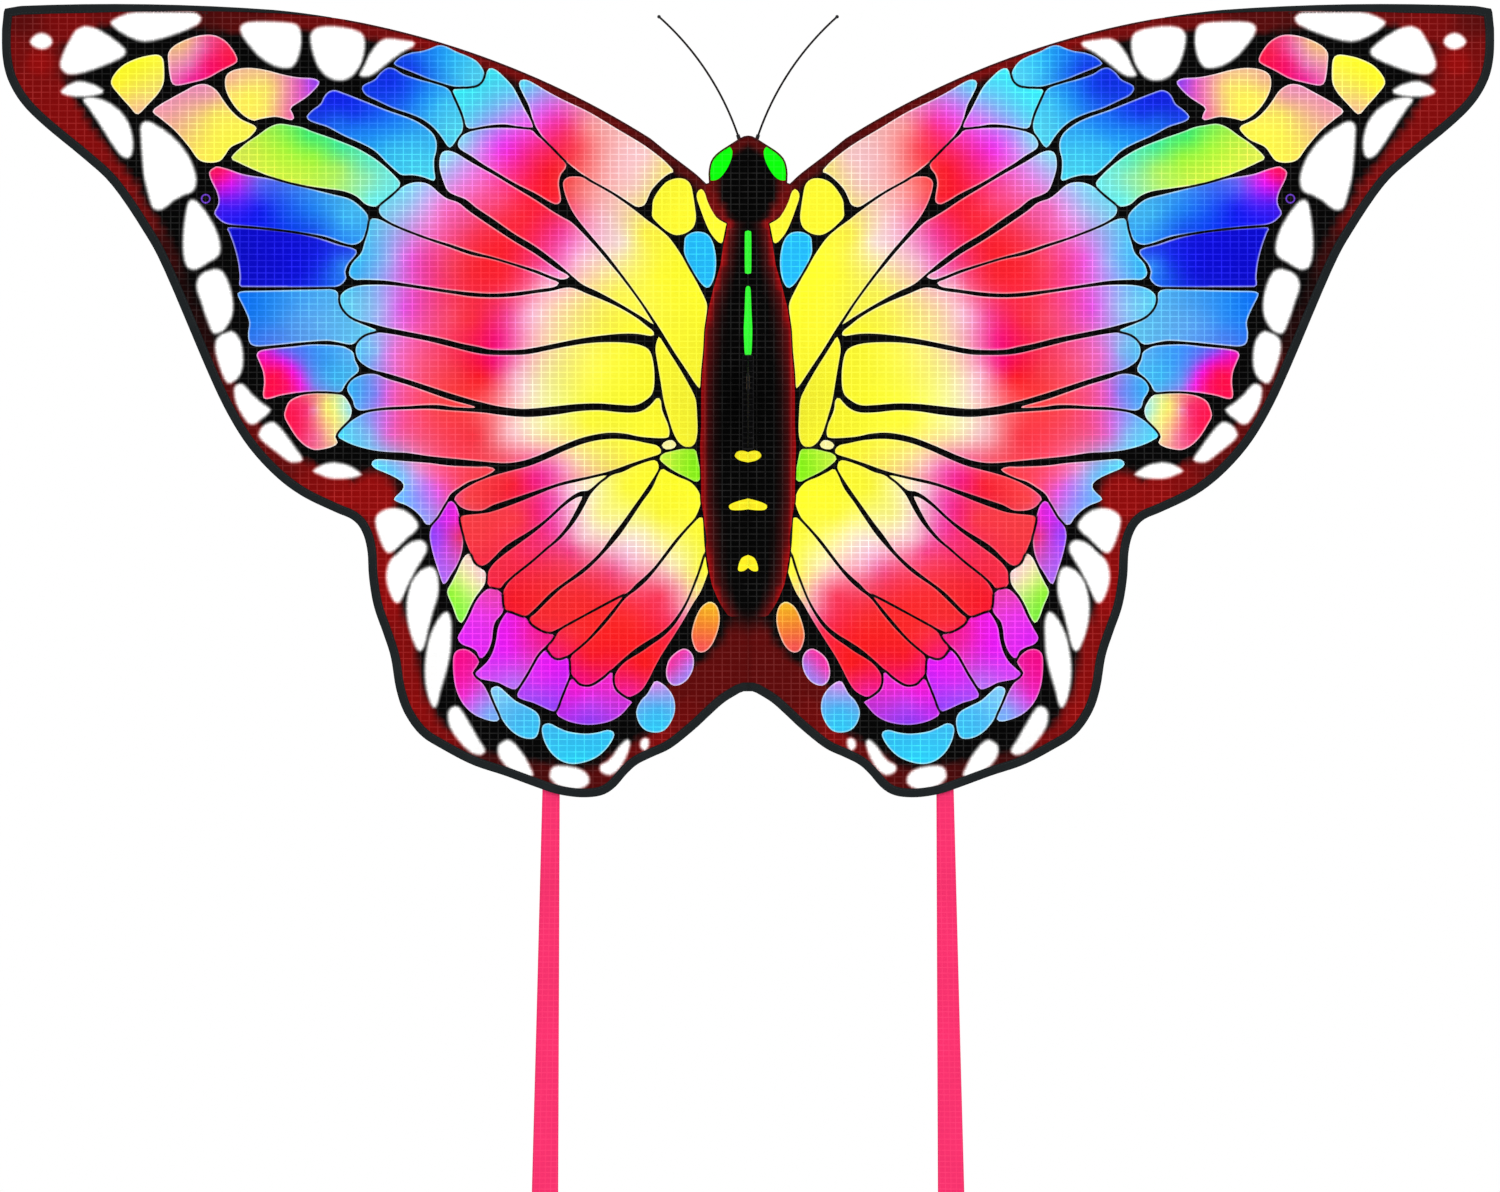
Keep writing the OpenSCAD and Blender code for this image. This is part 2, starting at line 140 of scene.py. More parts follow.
def edge_arc(centre, r, first, last, steps):
    """Points of an arc between two angles from +Z."""
    return [centre + r * up_from_edge(first + (last - first) * i / steps) for i in range(steps + 1)]


# Outline of a wing, as in part.scad ----------------------------------------------------------

JOINT_POINT = np.array([445, 740.5])
INNER_R, OUTER_R = 806, 2080
INNER_START, INNER_END, OUTER_START, OUTER_END = 32.3, 5.5, 4.2, -2.4
INNER_CENTRE = JOINT_POINT - INNER_R * up_from_edge(INNER_END)
OUTER_CENTRE = JOINT_POINT - OUTER_R * up_from_edge(OUTER_START)
SPAR_INSET = 7
HEAD = [(0, 622.3), (3.6, 621.8), (7.4, 619.9), (16, 614.5), (28.8, 606), (35, 598), (37.3, 587),
        (37.5, 576), (48.8, 586), (73.8, 605)]
FORE = [(701.5, 722), (701, 697), (696, 675), (683, 652.5), (661, 630.5), (624, 600), (598, 575.5),
        (569, 533), (549, 496), (509, 402), (489, 360), (469, 328.5), (444, 301.5), (419, 283),
        (389, 268.5), (372, 261)]
HIND = [(363, 250), (358, 232), (356.5, 207), (352, 180), (343, 154), (336, 132), (331, 102),
        (323, 79), (308, 58.5), (287, 45), (259, 30.5), (229, 20.5), (199, 9.5), (179, 3), (158, 0),
        (139, 1.5), (126, 8.5), (114, 22), (104, 31), (90, 38), (72, 46.5), (50, 64), (35, 78),
        (22, 89.5), (7.3, 98.5)]
TIP_CORNER = (699.5, 741.5)
SEAM_BOTTOM = (0, 98.5)
BINDING_W = 8.5
# The binding covers the leading edge outside this x
BINDING_START = 388

head_edge = catmull(HEAD[1:], 3)
inner_edge = edge_arc(INNER_CENTRE, INNER_R, INNER_START, INNER_END, 28)
outer_edge = edge_arc(OUTER_CENTRE, OUTER_R, OUTER_START, OUTER_END, 8)
wing_edge = [TIP_CORNER] + catmull(FORE + HIND, 4)


def binding_width(p):
    """The tape starts as a point on the leading edge and reaches its full width near the tip."""
    if p[1] < 730:
        return BINDING_W
    return float(np.interp(p[0], [390, 445, 620], [0.8, 3.2, BINDING_W]))


bound_edge = np.array([p for p in inner_edge if p[0] > BINDING_START] + list(outer_edge[1:]) + wing_edge)
bound_edge = resample(list(bound_edge) + [(3.4, 99.4), (0, 99.6)], 4)
bound_edge[-2, 1] = bound_edge[-1, 1]
bound_width = np.array([binding_width(p) for p in bound_edge])
sail_bound = bound_edge + normals(bound_edge) * (bound_width * 0.35)[:, None]
free_edge = [p for p in inner_edge if p[0] <= BINDING_START]
OUTLINE = np.array([HEAD[0]] + head_edge + free_edge + list(sail_bound) + [SEAM_BOTTOM], float)

# Print on the sail -----------------------------------------------------------------------------
# Outlines of the right half's cells. Each is a smooth closed curve through given points, with
# colours at a few places inside it, and a share of white in its edge.

YELLOW, CREAM = 0xFFFA30, 0xFFF0C0
CELLS = [
    ([(599, 671), (596, 680), (587, 689), (574, 695), (561, 698), (554, 698), (550, 694), (549, 682),
      (550, 671), (555, 662), (564, 652), (572, 643.5), (576, 643), (582, 650), (591, 660)],
     [(575, 687, 0xFFFC28), (592, 672, 0xFFF828), (556, 690, 0xFFFA38), (565, 664, 0xF6E068),
      (573, 649, 0xF5C090), (553, 675, 0xF6E460)], 0.6),
    ([(545, 700), (539, 707), (527, 713), (514, 716.5), (502, 716.5), (491, 711), (483, 701),
      (480, 693), (484, 689), (496, 683), (509, 676), (524, 672), (537, 669.5), (542, 672), (544, 680),
      (545, 690)],
     [(535, 705, 0xEEB87C), (528, 710, 0xEEB07C), (537, 680, 0xE870B0), (525, 690, 0xE080B8),
      (515, 704, 0xE07CBC), (505, 712, 0xE84488), (508, 690, 0xF80064), (490, 699, 0xFA1446),
      (525, 674, 0xEA1C96)], 0.6),
    ([(560, 645), (554, 651), (544, 657), (531, 664), (519, 670), (509, 670.5), (500, 665),
      (493, 655), (486, 646), (477, 638), (463, 631), (465, 625), (473, 618), (486, 612), (492, 604),
      (497, 598.5), (507, 597), (517, 600), (526, 612), (539, 627), (552, 638)],
     [(545, 649, 0xEB96AA), (515, 664, 0xE68CB0), (505, 658, 0xE89CA0), (520, 642, 0xF0C080),
      (533, 629, 0xF2BC84), (502, 644, 0xF5E15A), (477, 632, 0xFAF050), (507, 611, 0xFCEE50),
      (500, 625, 0xFCF050)], 0.6),
    ([(492, 672), (490, 680), (482, 684.5), (469, 686), (454, 684), (439, 680), (424, 677),
      (409, 676), (403, 673), (405, 668), (414, 659), (423, 653), (430, 648), (428, 643), (427, 638),
      (431, 637), (444, 640), (459, 638), (465, 636.5), (474, 641), (483, 650), (490, 662)],
     [(485, 675, 0xF0B090), (485, 665, 0xFAD870), (470, 660, 0xFAF050), (465, 682, 0xF0C088),
      (450, 667, 0xF5DC64), (455, 645, 0xFAE660), (440, 654, 0xF0AA96), (430, 667, 0xF082AA),
      (420, 670, 0xDC50BE), (412, 670, 0xAA46E6), (404, 674, 0x8238F0), (428, 642, 0xF05AAA)], 0.6),
    ([(486, 602), (474, 614), (461, 623), (451, 630), (441, 633.5), (429, 632), (419, 630),
      (409, 626), (389, 619), (369, 611), (353, 602), (340, 592), (330, 582), (327, 577), (330, 571),
      (340, 562), (347, 557), (352, 555.5), (360, 558), (368, 565), (380, 570), (400, 573),
      (429, 577.5), (449, 584), (464, 590), (479, 597)],
     [(476, 605, 0xD7EB50), (459, 615, 0xBEF040), (434, 612, 0xA0FA38), (421, 590, 0xBEF040),
      (414, 622, 0x3CE66E), (408, 602, 0x9BFA34), (384, 612, 0x3CE196), (384, 590, 0xAFF05C),
      (358, 595, 0x64E6BE), (358, 582, 0x96EBAA), (338, 580, 0x78E6DC), (353, 560, 0x64F0F0)], 0.6),
    ([(507, 588), (503, 592), (499, 593.5), (489, 591), (474, 586), (449, 582), (429, 577),
      (410, 572), (390, 567), (375, 563), (365, 556), (358, 548), (357, 540), (360, 530), (363, 524),
      (368, 520.5), (375, 520), (385, 523), (400, 528), (420, 531), (459, 536), (489, 539),
      (499, 545), (502, 550), (499, 556), (498, 562), (500, 570), (505, 580)],
     [(500, 590, 0xF80050), (494, 584, 0xF80070), (490, 579, 0xF000F0), (484, 577, 0xD010F0),
      (470, 574, 0x8040F0), (459, 577, 0x5060F0), (496, 556, 0x3810E8), (459, 552, 0x0410E4),
      (434, 545, 0x0448EC), (409, 553, 0x1880F4), (409, 532, 0x0848E8), (379, 547, 0x3CB4F0),
      (371, 528, 0x3098F4)], 0.6),
    ([(489, 536), (469, 535.5), (439, 533), (420, 530), (400, 525), (385, 520), (373, 517),
      (368, 514), (370, 509), (376, 502), (379, 494), (378, 488), (385, 481), (400, 480), (440, 480),
      (469, 480), (478, 481), (478, 490), (480, 505), (484, 520), (488, 531)],
     [(440, 510, 0x0000D0), (470, 515, 0x0000C8), (470, 490, 0x0000C8), (420, 495, 0x0004D4),
      (398, 508, 0x0824E4), (388, 505, 0x1858EC), (380, 500, 0x2C88F0), (378, 515, 0x1838E0),
      (395, 487, 0x0C50E8)], 0.6),
    ([(480, 474), (475, 476), (459, 476.5), (439, 477), (400, 478), (392, 478), (386, 475),
      (385, 466), (381, 458), (374, 451), (365, 446), (355, 442), (349, 438.5), (360, 435),
      (369, 428), (375, 426), (390, 429), (400, 429.5), (420, 428), (454, 424.5), (464, 424.5),
      (469, 428), (470, 437), (469, 447), (473, 458), (479, 470)],
     [(472, 468, 0x0070F4), (467, 455, 0x0878F0), (447, 450, 0x2888EE), (450, 430, 0x4878EC),
      (427, 448, 0x4C98EC), (407, 448, 0x58A4EC), (388, 438, 0x58B0EC), (358, 438, 0x60C4EC)], 0.6),
    ([(462, 416), (459, 420), (449, 422), (429, 424), (409, 426), (385, 425), (376, 422), (371, 418),
      (370, 412), (367, 406), (366, 402), (368, 399), (374, 394), (379, 388), (384, 381), (400, 382),
      (420, 381), (439, 378), (449, 375), (455, 375), (456, 380), (455, 390), (456, 400), (459, 408)],
     [(447, 398, 0xFA0046), (447, 388, 0xFA0046), (432, 388, 0xFA0060), (440, 402, 0xF80060),
      (452, 414, 0xF000C0), (437, 411, 0xF000F0), (425, 401, 0xF400F0), (418, 388, 0xF010F0),
      (438, 419, 0x6858EC), (428, 415, 0x6460EC), (418, 404, 0x6870EC), (411, 391, 0x6890F0),
      (398, 408, 0x3498F0), (388, 392, 0x38B4F0), (376, 418, 0x58A8F0)], 0.6),
    ([(435, 365), (431, 373), (421, 378), (409, 380), (400, 380), (390, 380), (381, 378), (376, 372),
      (373, 365), (374, 358), (379, 351), (388, 340), (386, 335), (387, 332), (393, 329), (402, 327),
      (409, 327), (417, 331), (425, 339), (432, 350), (436, 358)],
     [(428, 357, 0xFA0A46), (418, 349, 0xF51E5A), (413, 365, 0xF02068), (409, 364, 0xE682BE),
      (404, 339, 0xEB6EA0), (402, 364, 0xF0BE82), (394, 368, 0xFCFC5A), (388, 357, 0xFAF06E),
      (392, 339, 0xF5C882), (382, 368, 0xBEEBBE), (376, 364, 0x96E1F0)], 0.6),
    ([(333, 690), (327, 696), (317, 700), (307, 701.5), (299, 704), (291, 707), (284, 706),
      (274, 701), (264, 697), (255, 692), (249, 684), (248, 678), (251, 671), (257, 668), (269, 668),
      (279, 669), (299, 675), (314, 681), (329, 687)],
     [(330, 689, 0x003CDC), (316, 684, 0x0534E0), (305, 695, 0x0A6CEA), (298, 684, 0x1070E8),
      (284, 694, 0x1EA0F0), (269, 681, 0x3CC3F0), (257, 675, 0x50C8EC)], 0.5),
    ([(363, 666), (361, 670), (351, 675), (346, 681), (339, 686), (332, 685), (324, 680), (309, 675),
      (294, 671), (283, 667), (278, 661), (274, 652), (270, 643), (268, 634), (269, 626), (273, 620),
      (277, 614), (280, 611), (283, 613), (289, 622), (297, 631), (307, 638), (319, 643), (334, 648),
      (349, 655), (359, 660)],
     [(354, 670, 0x0030DC), (335, 672, 0x0028DE), (322, 664, 0x0448E6), (310, 658, 0x0C78EE),
      (296, 660, 0x1E96F0), (285, 652, 0x3CBEF0), (303, 645, 0x28A0F0), (280, 625, 0x50CDEC)], 0.5),
    ([(415, 640), (410, 646), (402, 652), (399, 658), (395, 663), (389, 665), (382, 663), (369, 658),
      (354, 652), (339, 646), (319, 639), (307, 633), (297, 625), (293, 617), (293, 608), (295, 600),
      (295, 590), (294, 581), (297, 580), (305, 583), (315, 585), (325, 585), (330, 588), (340, 597),
      (350, 607), (362, 614), (380, 622), (395, 630), (404, 633), (412, 636)],
     [(402, 648, 0x0828E0), (385, 652, 0x0420E0), (385, 636, 0x0C60E8), (370, 642, 0x0430E2),
      (366, 628, 0x1078EE), (354, 640, 0x0850E8), (350, 620, 0x1890F0), (331, 630, 0x1482F0),
      (335, 611, 0x32B4EC), (316, 616, 0x32B4F0), (300, 590, 0x46CDEC)], 0.6),
    ([(278, 664), (274, 666), (264, 667), (255, 669), (249, 674), (246, 681), (243, 685.5),
      (237, 684), (229, 677), (221, 668), (215, 657), (210, 647), (205, 638), (202, 631),
      (207, 629.5), (217, 631), (229, 633), (244, 632), (254, 630), (261, 629), (265, 631),
      (268, 640), (272, 650)],
     [(240, 677, 0x40D8F0), (250, 655, 0x50CCF0), (262, 640, 0x58C8F0), (234, 645, 0x88A8F0),
      (220, 640, 0xC080F0), (208, 634, 0xE060E8)], 0.6),
    ([(214, 674), (208, 674.5), (199, 670), (189, 664), (174, 656), (149, 644), (124, 629),
      (99, 614), (84, 603), (77, 597), (71, 590.5), (70, 588), (75, 586), (82, 580.5), (90, 572),
      (94, 564), (97, 557.5), (101, 555.5), (105, 555.5), (111, 559), (125, 568), (140, 576), (150, 582),
      (160, 589), (170, 597), (180, 606), (190, 617), (198, 628), (202, 636), (206, 650), (211, 660),
      (215, 669)],
     [(212, 670, 0x50D0F0), (202, 660, 0x90A0F0), (190, 645, 0xE050E0), (176, 637, 0xF030A0),
      (170, 625, 0xF83060), (160, 610, 0xF84050), (150, 630, 0xF89090), (130, 600, 0xF8B0B0),
      (112, 592, 0xF8C4C8), (95, 603, 0xF8C4C8), (85, 597, 0xF4D0A0), (76, 593, 0xF2DC78),
      (97, 564, 0xF2D890), (105, 575, 0xF8C8C0)], 0.6),
    ([(271, 620), (264, 625), (254, 628), (240, 629.5), (225, 629.5), (205, 628), (198, 622),
      (190, 616), (182, 609), (174, 600), (171, 596), (172, 591), (176, 586), (178, 578), (177, 570),
      (176, 562), (178, 558.5), (182, 558), (190, 562), (200, 568), (220, 578), (240, 590),
      (250, 596), (260, 603), (272, 611)],
     [(266, 616, 0x90C8F0), (247, 613, 0xD070F0), (230, 612, 0xE828E8), (215, 605, 0xF020A0),
      (200, 600, 0xF82060), (185, 590, 0xF81020), (182, 567, 0xF81020)], 0.5),
    ([(289, 604), (284, 608), (275, 606), (260, 597), (240, 586), (220, 574), (200, 562), (185, 552),
      (175, 546), (165, 540), (150, 525), (140, 514), (130, 502), (120, 490), (110, 477), (100, 463),
      (92, 450), (89, 445), (100, 452), (120, 464), (140, 475), (155, 482), (165, 490), (180, 503),
      (200, 518), (220, 530), (240, 544), (255, 554), (265, 562), (275, 566), (282, 570), (286, 578),
      (290, 592)],
     [(284, 600, 0x90D0F0), (276, 588, 0xC0A0F0), (266, 582, 0xE080E0), (250, 576, 0xF060B0),
      (230, 560, 0xF84070), (210, 545, 0xF82030), (177, 532, 0xF03090), (168, 520, 0xF070C0),
      (158, 505, 0xF8C0D0), (145, 490, 0xF8D0A0), (122, 475, 0xF8F050), (98, 455, 0xF8F050)], 0.5),
    ([(174, 578), (170, 583), (163, 584), (155, 583), (148, 579), (135, 572), (120, 562), (105, 551),
      (95, 543), (84, 535), (74, 526), (64, 512), (54, 495), (46, 480), (39, 465), (39, 455),
      (40, 440), (41, 425), (43, 410), (44, 395), (45, 386), (48, 387), (60, 405), (70, 420),
      (86.5, 446.5), (103.4, 471.2), (128.4, 505.2), (143.4, 523.2), (153.4, 535.2), (161.6, 545.6),
      (167.2, 555), (172, 567)],
     [(168, 573, 0xF86060), (150, 565, 0xF89090), (130, 545, 0xF8C8C8), (118, 522, 0xF8E0E0),
      (110, 543, 0xF4D890), (98, 530, 0xFFF040), (85, 490, YELLOW), (60, 450, YELLOW),
      (50, 410, YELLOW)], 0.4),
    ([(347, 553), (345, 558), (335, 566), (325, 574), (315, 578), (305, 578), (298, 575), (290, 568),
      (283, 563), (272, 559), (262, 551), (240, 536), (220, 523), (200, 511), (180, 497), (168, 490),
      (175, 487), (185, 490), (200, 496), (220, 502), (240, 508), (262, 514), (280, 520), (300, 526),
      (320, 533), (335, 540), (345, 547)],
     [(340, 553, 0x80D0F0), (320, 562, 0x88C8F0), (302, 562, 0xC0A8F0), (298, 545, 0xE888D8),
      (284, 552, 0xF060B0), (270, 540, 0xF05090), (255, 530, 0xF83050), (230, 518, 0xF81828),
      (192, 502, 0xF04090), (180, 494, 0xF070C0)], 0.5),
    ([(356, 543), (348, 544), (335, 538), (320, 532), (300, 524), (280, 517), (260, 510), (240, 506),
      (220, 500), (200, 493), (185, 487), (178, 484), (182, 480), (195, 478), (210, 476), (230, 474),
      (250, 474), (280, 477), (300, 480), (320, 483), (340, 486), (360, 487), (370, 487), (375, 491),
      (375, 496), (372, 503), (364, 512), (361, 521), (358, 532)],
     [(369, 495, 0x30A8F0), (350, 510, 0x60B0F0), (337, 505, 0xA0A8F0), (328, 505, 0xC880F0),
      (318, 505, 0xE850D8), (300, 500, 0xF03890), (280, 500, 0xF84060), (260, 495, 0xF82030),
      (230, 488, 0xF82030), (210, 486, 0xF84070), (190, 483, 0xF8B0C8), (352, 537, 0x60C0F0)], 0.5),
    ([(384, 470), (383, 462), (378, 455), (370, 450), (355, 446), (340, 442), (320, 438), (290, 432),
      (270, 427), (255, 424), (240, 421), (215, 421), (200, 423), (180, 427), (160, 431), (140, 434),
      (120, 436), (105, 436), (90, 434), (89, 438), (95, 443), (105, 451), (120, 460), (135, 467),
      (150, 473), (165, 479), (175, 478.5), (185, 476), (200, 474), (220, 471), (240, 470),
      (260, 471), (280, 474), (300, 477), (320, 480), (340, 482), (360, 482), (372, 480), (380, 476)],
     [(377, 467, 0x68C8F0), (360, 465, 0x78C0F0), (346, 462, 0xA0B0F0), (335, 465, 0xC888F0),
      (324, 460, 0xE048E0), (300, 455, 0xF04890), (280, 450, 0xF84868), (260, 448, 0xF82838),
      (237, 430, 0xF00078), (226, 455, 0xF04090), (214, 450, 0xF890C0), (202, 455, 0xF8C0D8),
      (180, 455, 0xF8D0A0), (160, 455, 0xF8E080), (135, 450, 0xFCF050), (105, 443, YELLOW)], 0.5),
    ([(369, 418), (368, 426), (363, 433), (352, 437), (340, 436.5), (320, 433), (300, 429),
      (280, 424), (250, 417), (220, 416), (205, 417), (190, 420), (170, 424), (150, 427), (130, 428),
      (110, 427), (98, 424), (92, 419), (89, 408), (88, 395), (89, 383), (93, 376), (105, 369),
      (120, 369), (140, 370.5), (160, 370), (180, 368), (200, 366), (215, 365.5), (235, 368),
      (250, 371.5), (260, 374), (280, 380), (300, 386.5), (320, 393), (340, 399), (352, 402),
      (360, 406), (366, 411)],
     [(363, 420, 0x60B8F0), (350, 420, 0x80B8F0), (341, 417, 0xD080F0), (330, 415, 0xF068C0),
      (310, 410, 0xF85888), (275, 402, 0xF83848), (250, 395, 0xF81018), (240, 408, 0xF00070),
      (229, 390, 0xF88098), (220, 398, 0xF8B0C8), (213, 382, 0xF8D0D8), (200, 392, 0xF8E0B8),
      (185, 395, 0xF8F090), (160, 395, 0xFCF460), (105, 395, YELLOW)], 0.45),
    ([(377, 383), (375, 390), (369, 395), (360, 398), (350, 398), (340, 394), (320, 388), (300, 381),
      (280, 374), (256, 367), (275, 367), (290, 369), (305, 369), (320, 368), (340, 367), (355, 365),
      (365, 364), (370, 367), (372, 374)],
     [(369, 383, 0x38A0F0), (350, 380, 0x7080F0), (343, 380, 0xC060E8), (336, 378, 0xE858C0),
      (325, 378, 0xF05090), (295, 372, 0xF84850)], 0.5),
    ([(386, 340), (383, 346), (376, 352), (367, 358), (358, 362), (345, 364), (320, 365),
      (300, 365.5), (280, 364), (250, 362), (235, 360), (215, 358), (200, 358), (180, 360),
      (160, 363), (140, 364), (120, 362), (105, 362), (95, 366), (88, 373), (85, 376), (82, 373),
      (81, 365), (78, 357), (75, 350), (74, 343), (77, 338), (100, 339), (115, 342), (130, 343),
      (145, 341), (160, 337), (180, 329), (200, 320.5), (215, 316), (230, 314.5), (250, 316),
      (270, 318), (300, 321), (320, 324), (340, 325), (355, 327), (370, 331), (381, 336)],
     [(375, 343, 0x60C8F0), (355, 342, 0x80B0F0), (345, 350, 0xC070E8), (338, 340, 0xE060C8),
      (325, 345, 0xF05090), (300, 343, 0xF84868), (255, 340, 0xF83040), (230, 338, 0xF8A0A8),
      (221, 343, 0xF8C8D0), (200, 342, 0xF8E8B8), (185, 347, 0xF8F090), (150, 352, YELLOW),
      (95, 350, YELLOW)], 0.45),
    ([(86, 331), (95, 333), (110, 336), (130, 337), (150, 334), (170, 327), (190, 318), (205, 312),
      (220, 308), (235, 304), (250, 299), (262, 293), (270, 288), (276, 282), (275, 278), (270, 273),
      (262, 270), (250, 270), (240, 275), (225, 280), (210, 285), (195, 290), (180, 295), (165, 299),
      (150, 302), (130, 307), (110, 314), (95, 319), (83, 323), (82, 327)],
     [(265, 280, 0xF84040), (222, 295, 0xF81828), (202, 300, 0xF01080), (192, 305, 0xF03098),
      (182, 308, 0xF060B0), (172, 310, 0xF8A0C0), (160, 316, 0xF8D0A8), (138, 320, 0xFAE870),
      (100, 326, YELLOW)], 0.3),
    ([(354, 313), (352, 317), (345, 318), (320, 316), (300, 314.5), (280, 312), (255, 311),
      (245, 311), (238, 308), (250, 301), (262, 297), (272, 291), (280, 285), (285, 276), (290, 268),
      (294, 261), (298, 257), (303, 257), (307, 263), (314, 270), (322, 275), (330, 278), (333, 281),
      (328, 286), (324, 291), (325, 296), (332, 301), (343, 306), (350, 309)],
     [(348, 313, 0x60D8F8), (335, 309, 0x60C0F8), (323, 302, 0x80B8F8), (312, 282, 0x8890F8),
      (301, 265, 0x9898F8), (302, 295, 0xC070F0), (290, 285, 0xE050E0), (310, 308, 0xE090D0),
      (294, 303, 0xF860A0), (278, 302, 0xF84870), (255, 304, 0xF84050)], 0.5),
    ([(299, 250), (296, 258), (290, 264), (285, 273), (281, 278.5), (276, 277), (273, 270),
      (271, 262), (269, 252), (268, 245), (269, 232), (273, 220), (279, 210), (284, 202), (287, 201),
      (291, 212), (296, 228), (299, 242)],
     [(294, 246, 0x8840F8), (286, 240, 0xC040F0), (280, 262, 0xE020E8), (272, 245, 0xE83060),
      (285, 210, 0xB068F8)], 0.45),
    ([(283, 193), (279, 202), (274, 212), (269, 223), (264, 229), (259, 228), (257, 222), (251, 215),
      (247, 212), (246, 205), (250, 197), (256, 189), (261, 180), (266, 169), (270, 164), (274, 169),
      (278, 180)],
     [(264, 222, 0xF8D8C8), (251, 207, 0xF8D0D0), (262, 203, 0xF0F0A0), (277, 192, 0x90F830),
      (270, 174, 0x80F040)], 0.6),
    ([(272, 262), (268, 265), (250, 267), (240, 269), (220, 276), (200, 284), (180, 292), (160, 297),
      (133, 303), (140, 297), (150, 289), (157, 288), (165, 284), (175, 276), (190, 262), (205, 251),
      (220, 242), (230, 235), (240, 225), (247, 219), (255, 218), (260, 224), (262, 232), (266, 242),
      (270, 252)],
     [(255, 245, 0xF83840), (215, 262, 0xF83840), (199, 270, 0xF01870), (189, 277, 0xF030A0),
      (180, 284, 0xF060B0), (167, 290, 0xF8C8D8), (148, 297, CREAM)], 0.2),
    ([(156, 283), (163, 281), (174, 273), (186, 262), (200, 250), (215, 239), (230, 228), (240, 219),
      (245, 210), (245, 201), (240, 196.5), (233, 197), (228, 203), (215, 213), (200, 225),
      (188, 236), (178, 246), (170, 256), (163, 268), (158, 278)],
     [(238, 207, 0xF82848), (205, 234, 0xF82868), (184, 254, 0xF038A0), (174, 264, 0xF080B8),
      (160, 279, 0xF8D0D8)], 0.2),
    ([(88, 317), (105, 312), (118, 306), (128, 303), (138, 296), (148, 285), (155, 272), (163, 259),
      (172, 248), (180, 240), (190, 233), (205, 220), (220, 208), (228, 198), (232, 188), (231, 180),
      (226, 175), (218, 171), (210, 170), (200, 178), (185, 193), (165, 208), (150, 220), (138, 232),
      (128, 246), (118, 259), (108, 273), (98, 287), (88, 302), (84, 310)],
     [(220, 187, 0xF81020), (192, 205, 0xF82838), (176, 222, 0xF84060), (166, 232, 0xF03888),
      (158, 243, 0xF8C0D0), (147, 252, 0xF8E0D0), (137, 266, 0xF8F080), (115, 292, YELLOW),
      (95, 310, YELLOW)], 0.2),
    ([(82, 308), (75, 306), (65, 301), (55, 297), (48, 290), (45, 283), (45, 275), (50, 263),
      (58, 254), (68, 243), (78, 230), (88, 217), (98, 207), (105, 201), (113, 193), (125, 187),
      (140, 179), (160, 168), (180, 158), (190, 154.5), (198, 157), (205, 162), (206, 168),
      (200, 173), (190, 183), (175, 197), (155, 211), (140, 225), (122, 245), (110, 262), (100, 277),
      (90, 291)],
     [(192, 167, 0xF82830), (155, 192, 0xF82830), (139, 206, 0xF83858), (128, 212, 0xF04880),
      (119, 218, 0xF080B0), (109, 217, 0xF8A8C0), (118, 231, 0xF8C0D8), (110, 243, 0xF8E0D8),
      (98, 248, CREAM), (82, 265, YELLOW), (60, 280, YELLOW)], 0.2),
    ([(117, 190), (129, 184), (144, 176), (159, 168), (174, 159), (181, 152), (189, 141), (187, 134),
      (182, 131), (176, 131), (169, 134), (159, 141), (149, 151), (137, 165), (127, 177), (119, 187)],
     [(183, 138, 0xF01070), (165, 152, 0xF82838), (125, 185, 0xF82838)], 0.12),
    ([(43, 263), (47, 262), (55, 254), (65, 242), (75, 229), (85, 216), (95, 204), (105, 195),
      (112, 190), (118, 184), (127, 172), (138, 159), (150, 147), (160, 139), (166, 133), (168, 126),
      (166, 115), (160, 108), (153, 106), (145, 108), (130, 119), (120, 128), (107, 139), (95, 147),
      (85, 153), (75, 161), (66, 172), (58, 185), (52, 199), (46, 214), (41, 230), (39, 240),
      (40, 252)],
     [(158, 115, 0xF00078), (148, 132, 0xF81020), (110, 165, 0xF82828), (82, 190, 0xF83050),
      (77, 207, 0xF8A0B0), (63, 195, 0xF8A0B0), (70, 217, CREAM), (56, 222, 0xF8F080),
      (47, 250, YELLOW)], 0.2),
    ([(41, 227), (38, 222), (37, 215), (40, 205), (45, 193), (52, 182), (60, 168), (68, 155),
      (75, 144), (82, 133), (88, 122), (93, 112), (100, 101), (110, 95), (116, 96), (122, 101),
      (126, 110), (123, 119), (117, 126), (110, 131), (100, 137), (90, 144), (80, 151), (70, 161),
      (62, 173), (55, 187), (49, 202), (44, 217)],
     [(112, 101, 0xF01898), (98, 125, 0xF81010), (70, 157, 0xF82048), (62, 167, 0xF06090),
      (57, 177, 0xF8B0B8), (51, 190, 0xF8D090), (42, 213, YELLOW)], 0.2),
    ([(273, 150), (269, 158), (262, 171), (256, 184), (249, 193), (242, 197), (236, 196), (230, 190),
      (229, 182), (230, 176), (233, 171), (238, 165), (240, 157), (241, 148), (244, 139), (249, 132),
      (253, 131), (255, 137), (261, 141), (269, 144)],
     [(242, 190, 0xE840B0), (252, 168, 0xE030E8), (264, 150, 0xD820F0)], 0.3),
    ([(257, 116), (251, 122), (245, 128), (240, 137), (237, 148), (235, 160), (230, 170), (225, 175),
      (217, 173), (209, 169), (202, 163), (189, 155), (182, 152), (185, 146), (193, 140), (199, 133),
      (205, 122), (211, 112), (216, 104), (220, 101.5), (227, 104), (235, 108), (245, 110),
      (253, 112)],
     [(224, 165, 0xE818E8), (205, 155, 0xF018A0), (190, 150, 0xF01080), (228, 140, 0xE010F0),
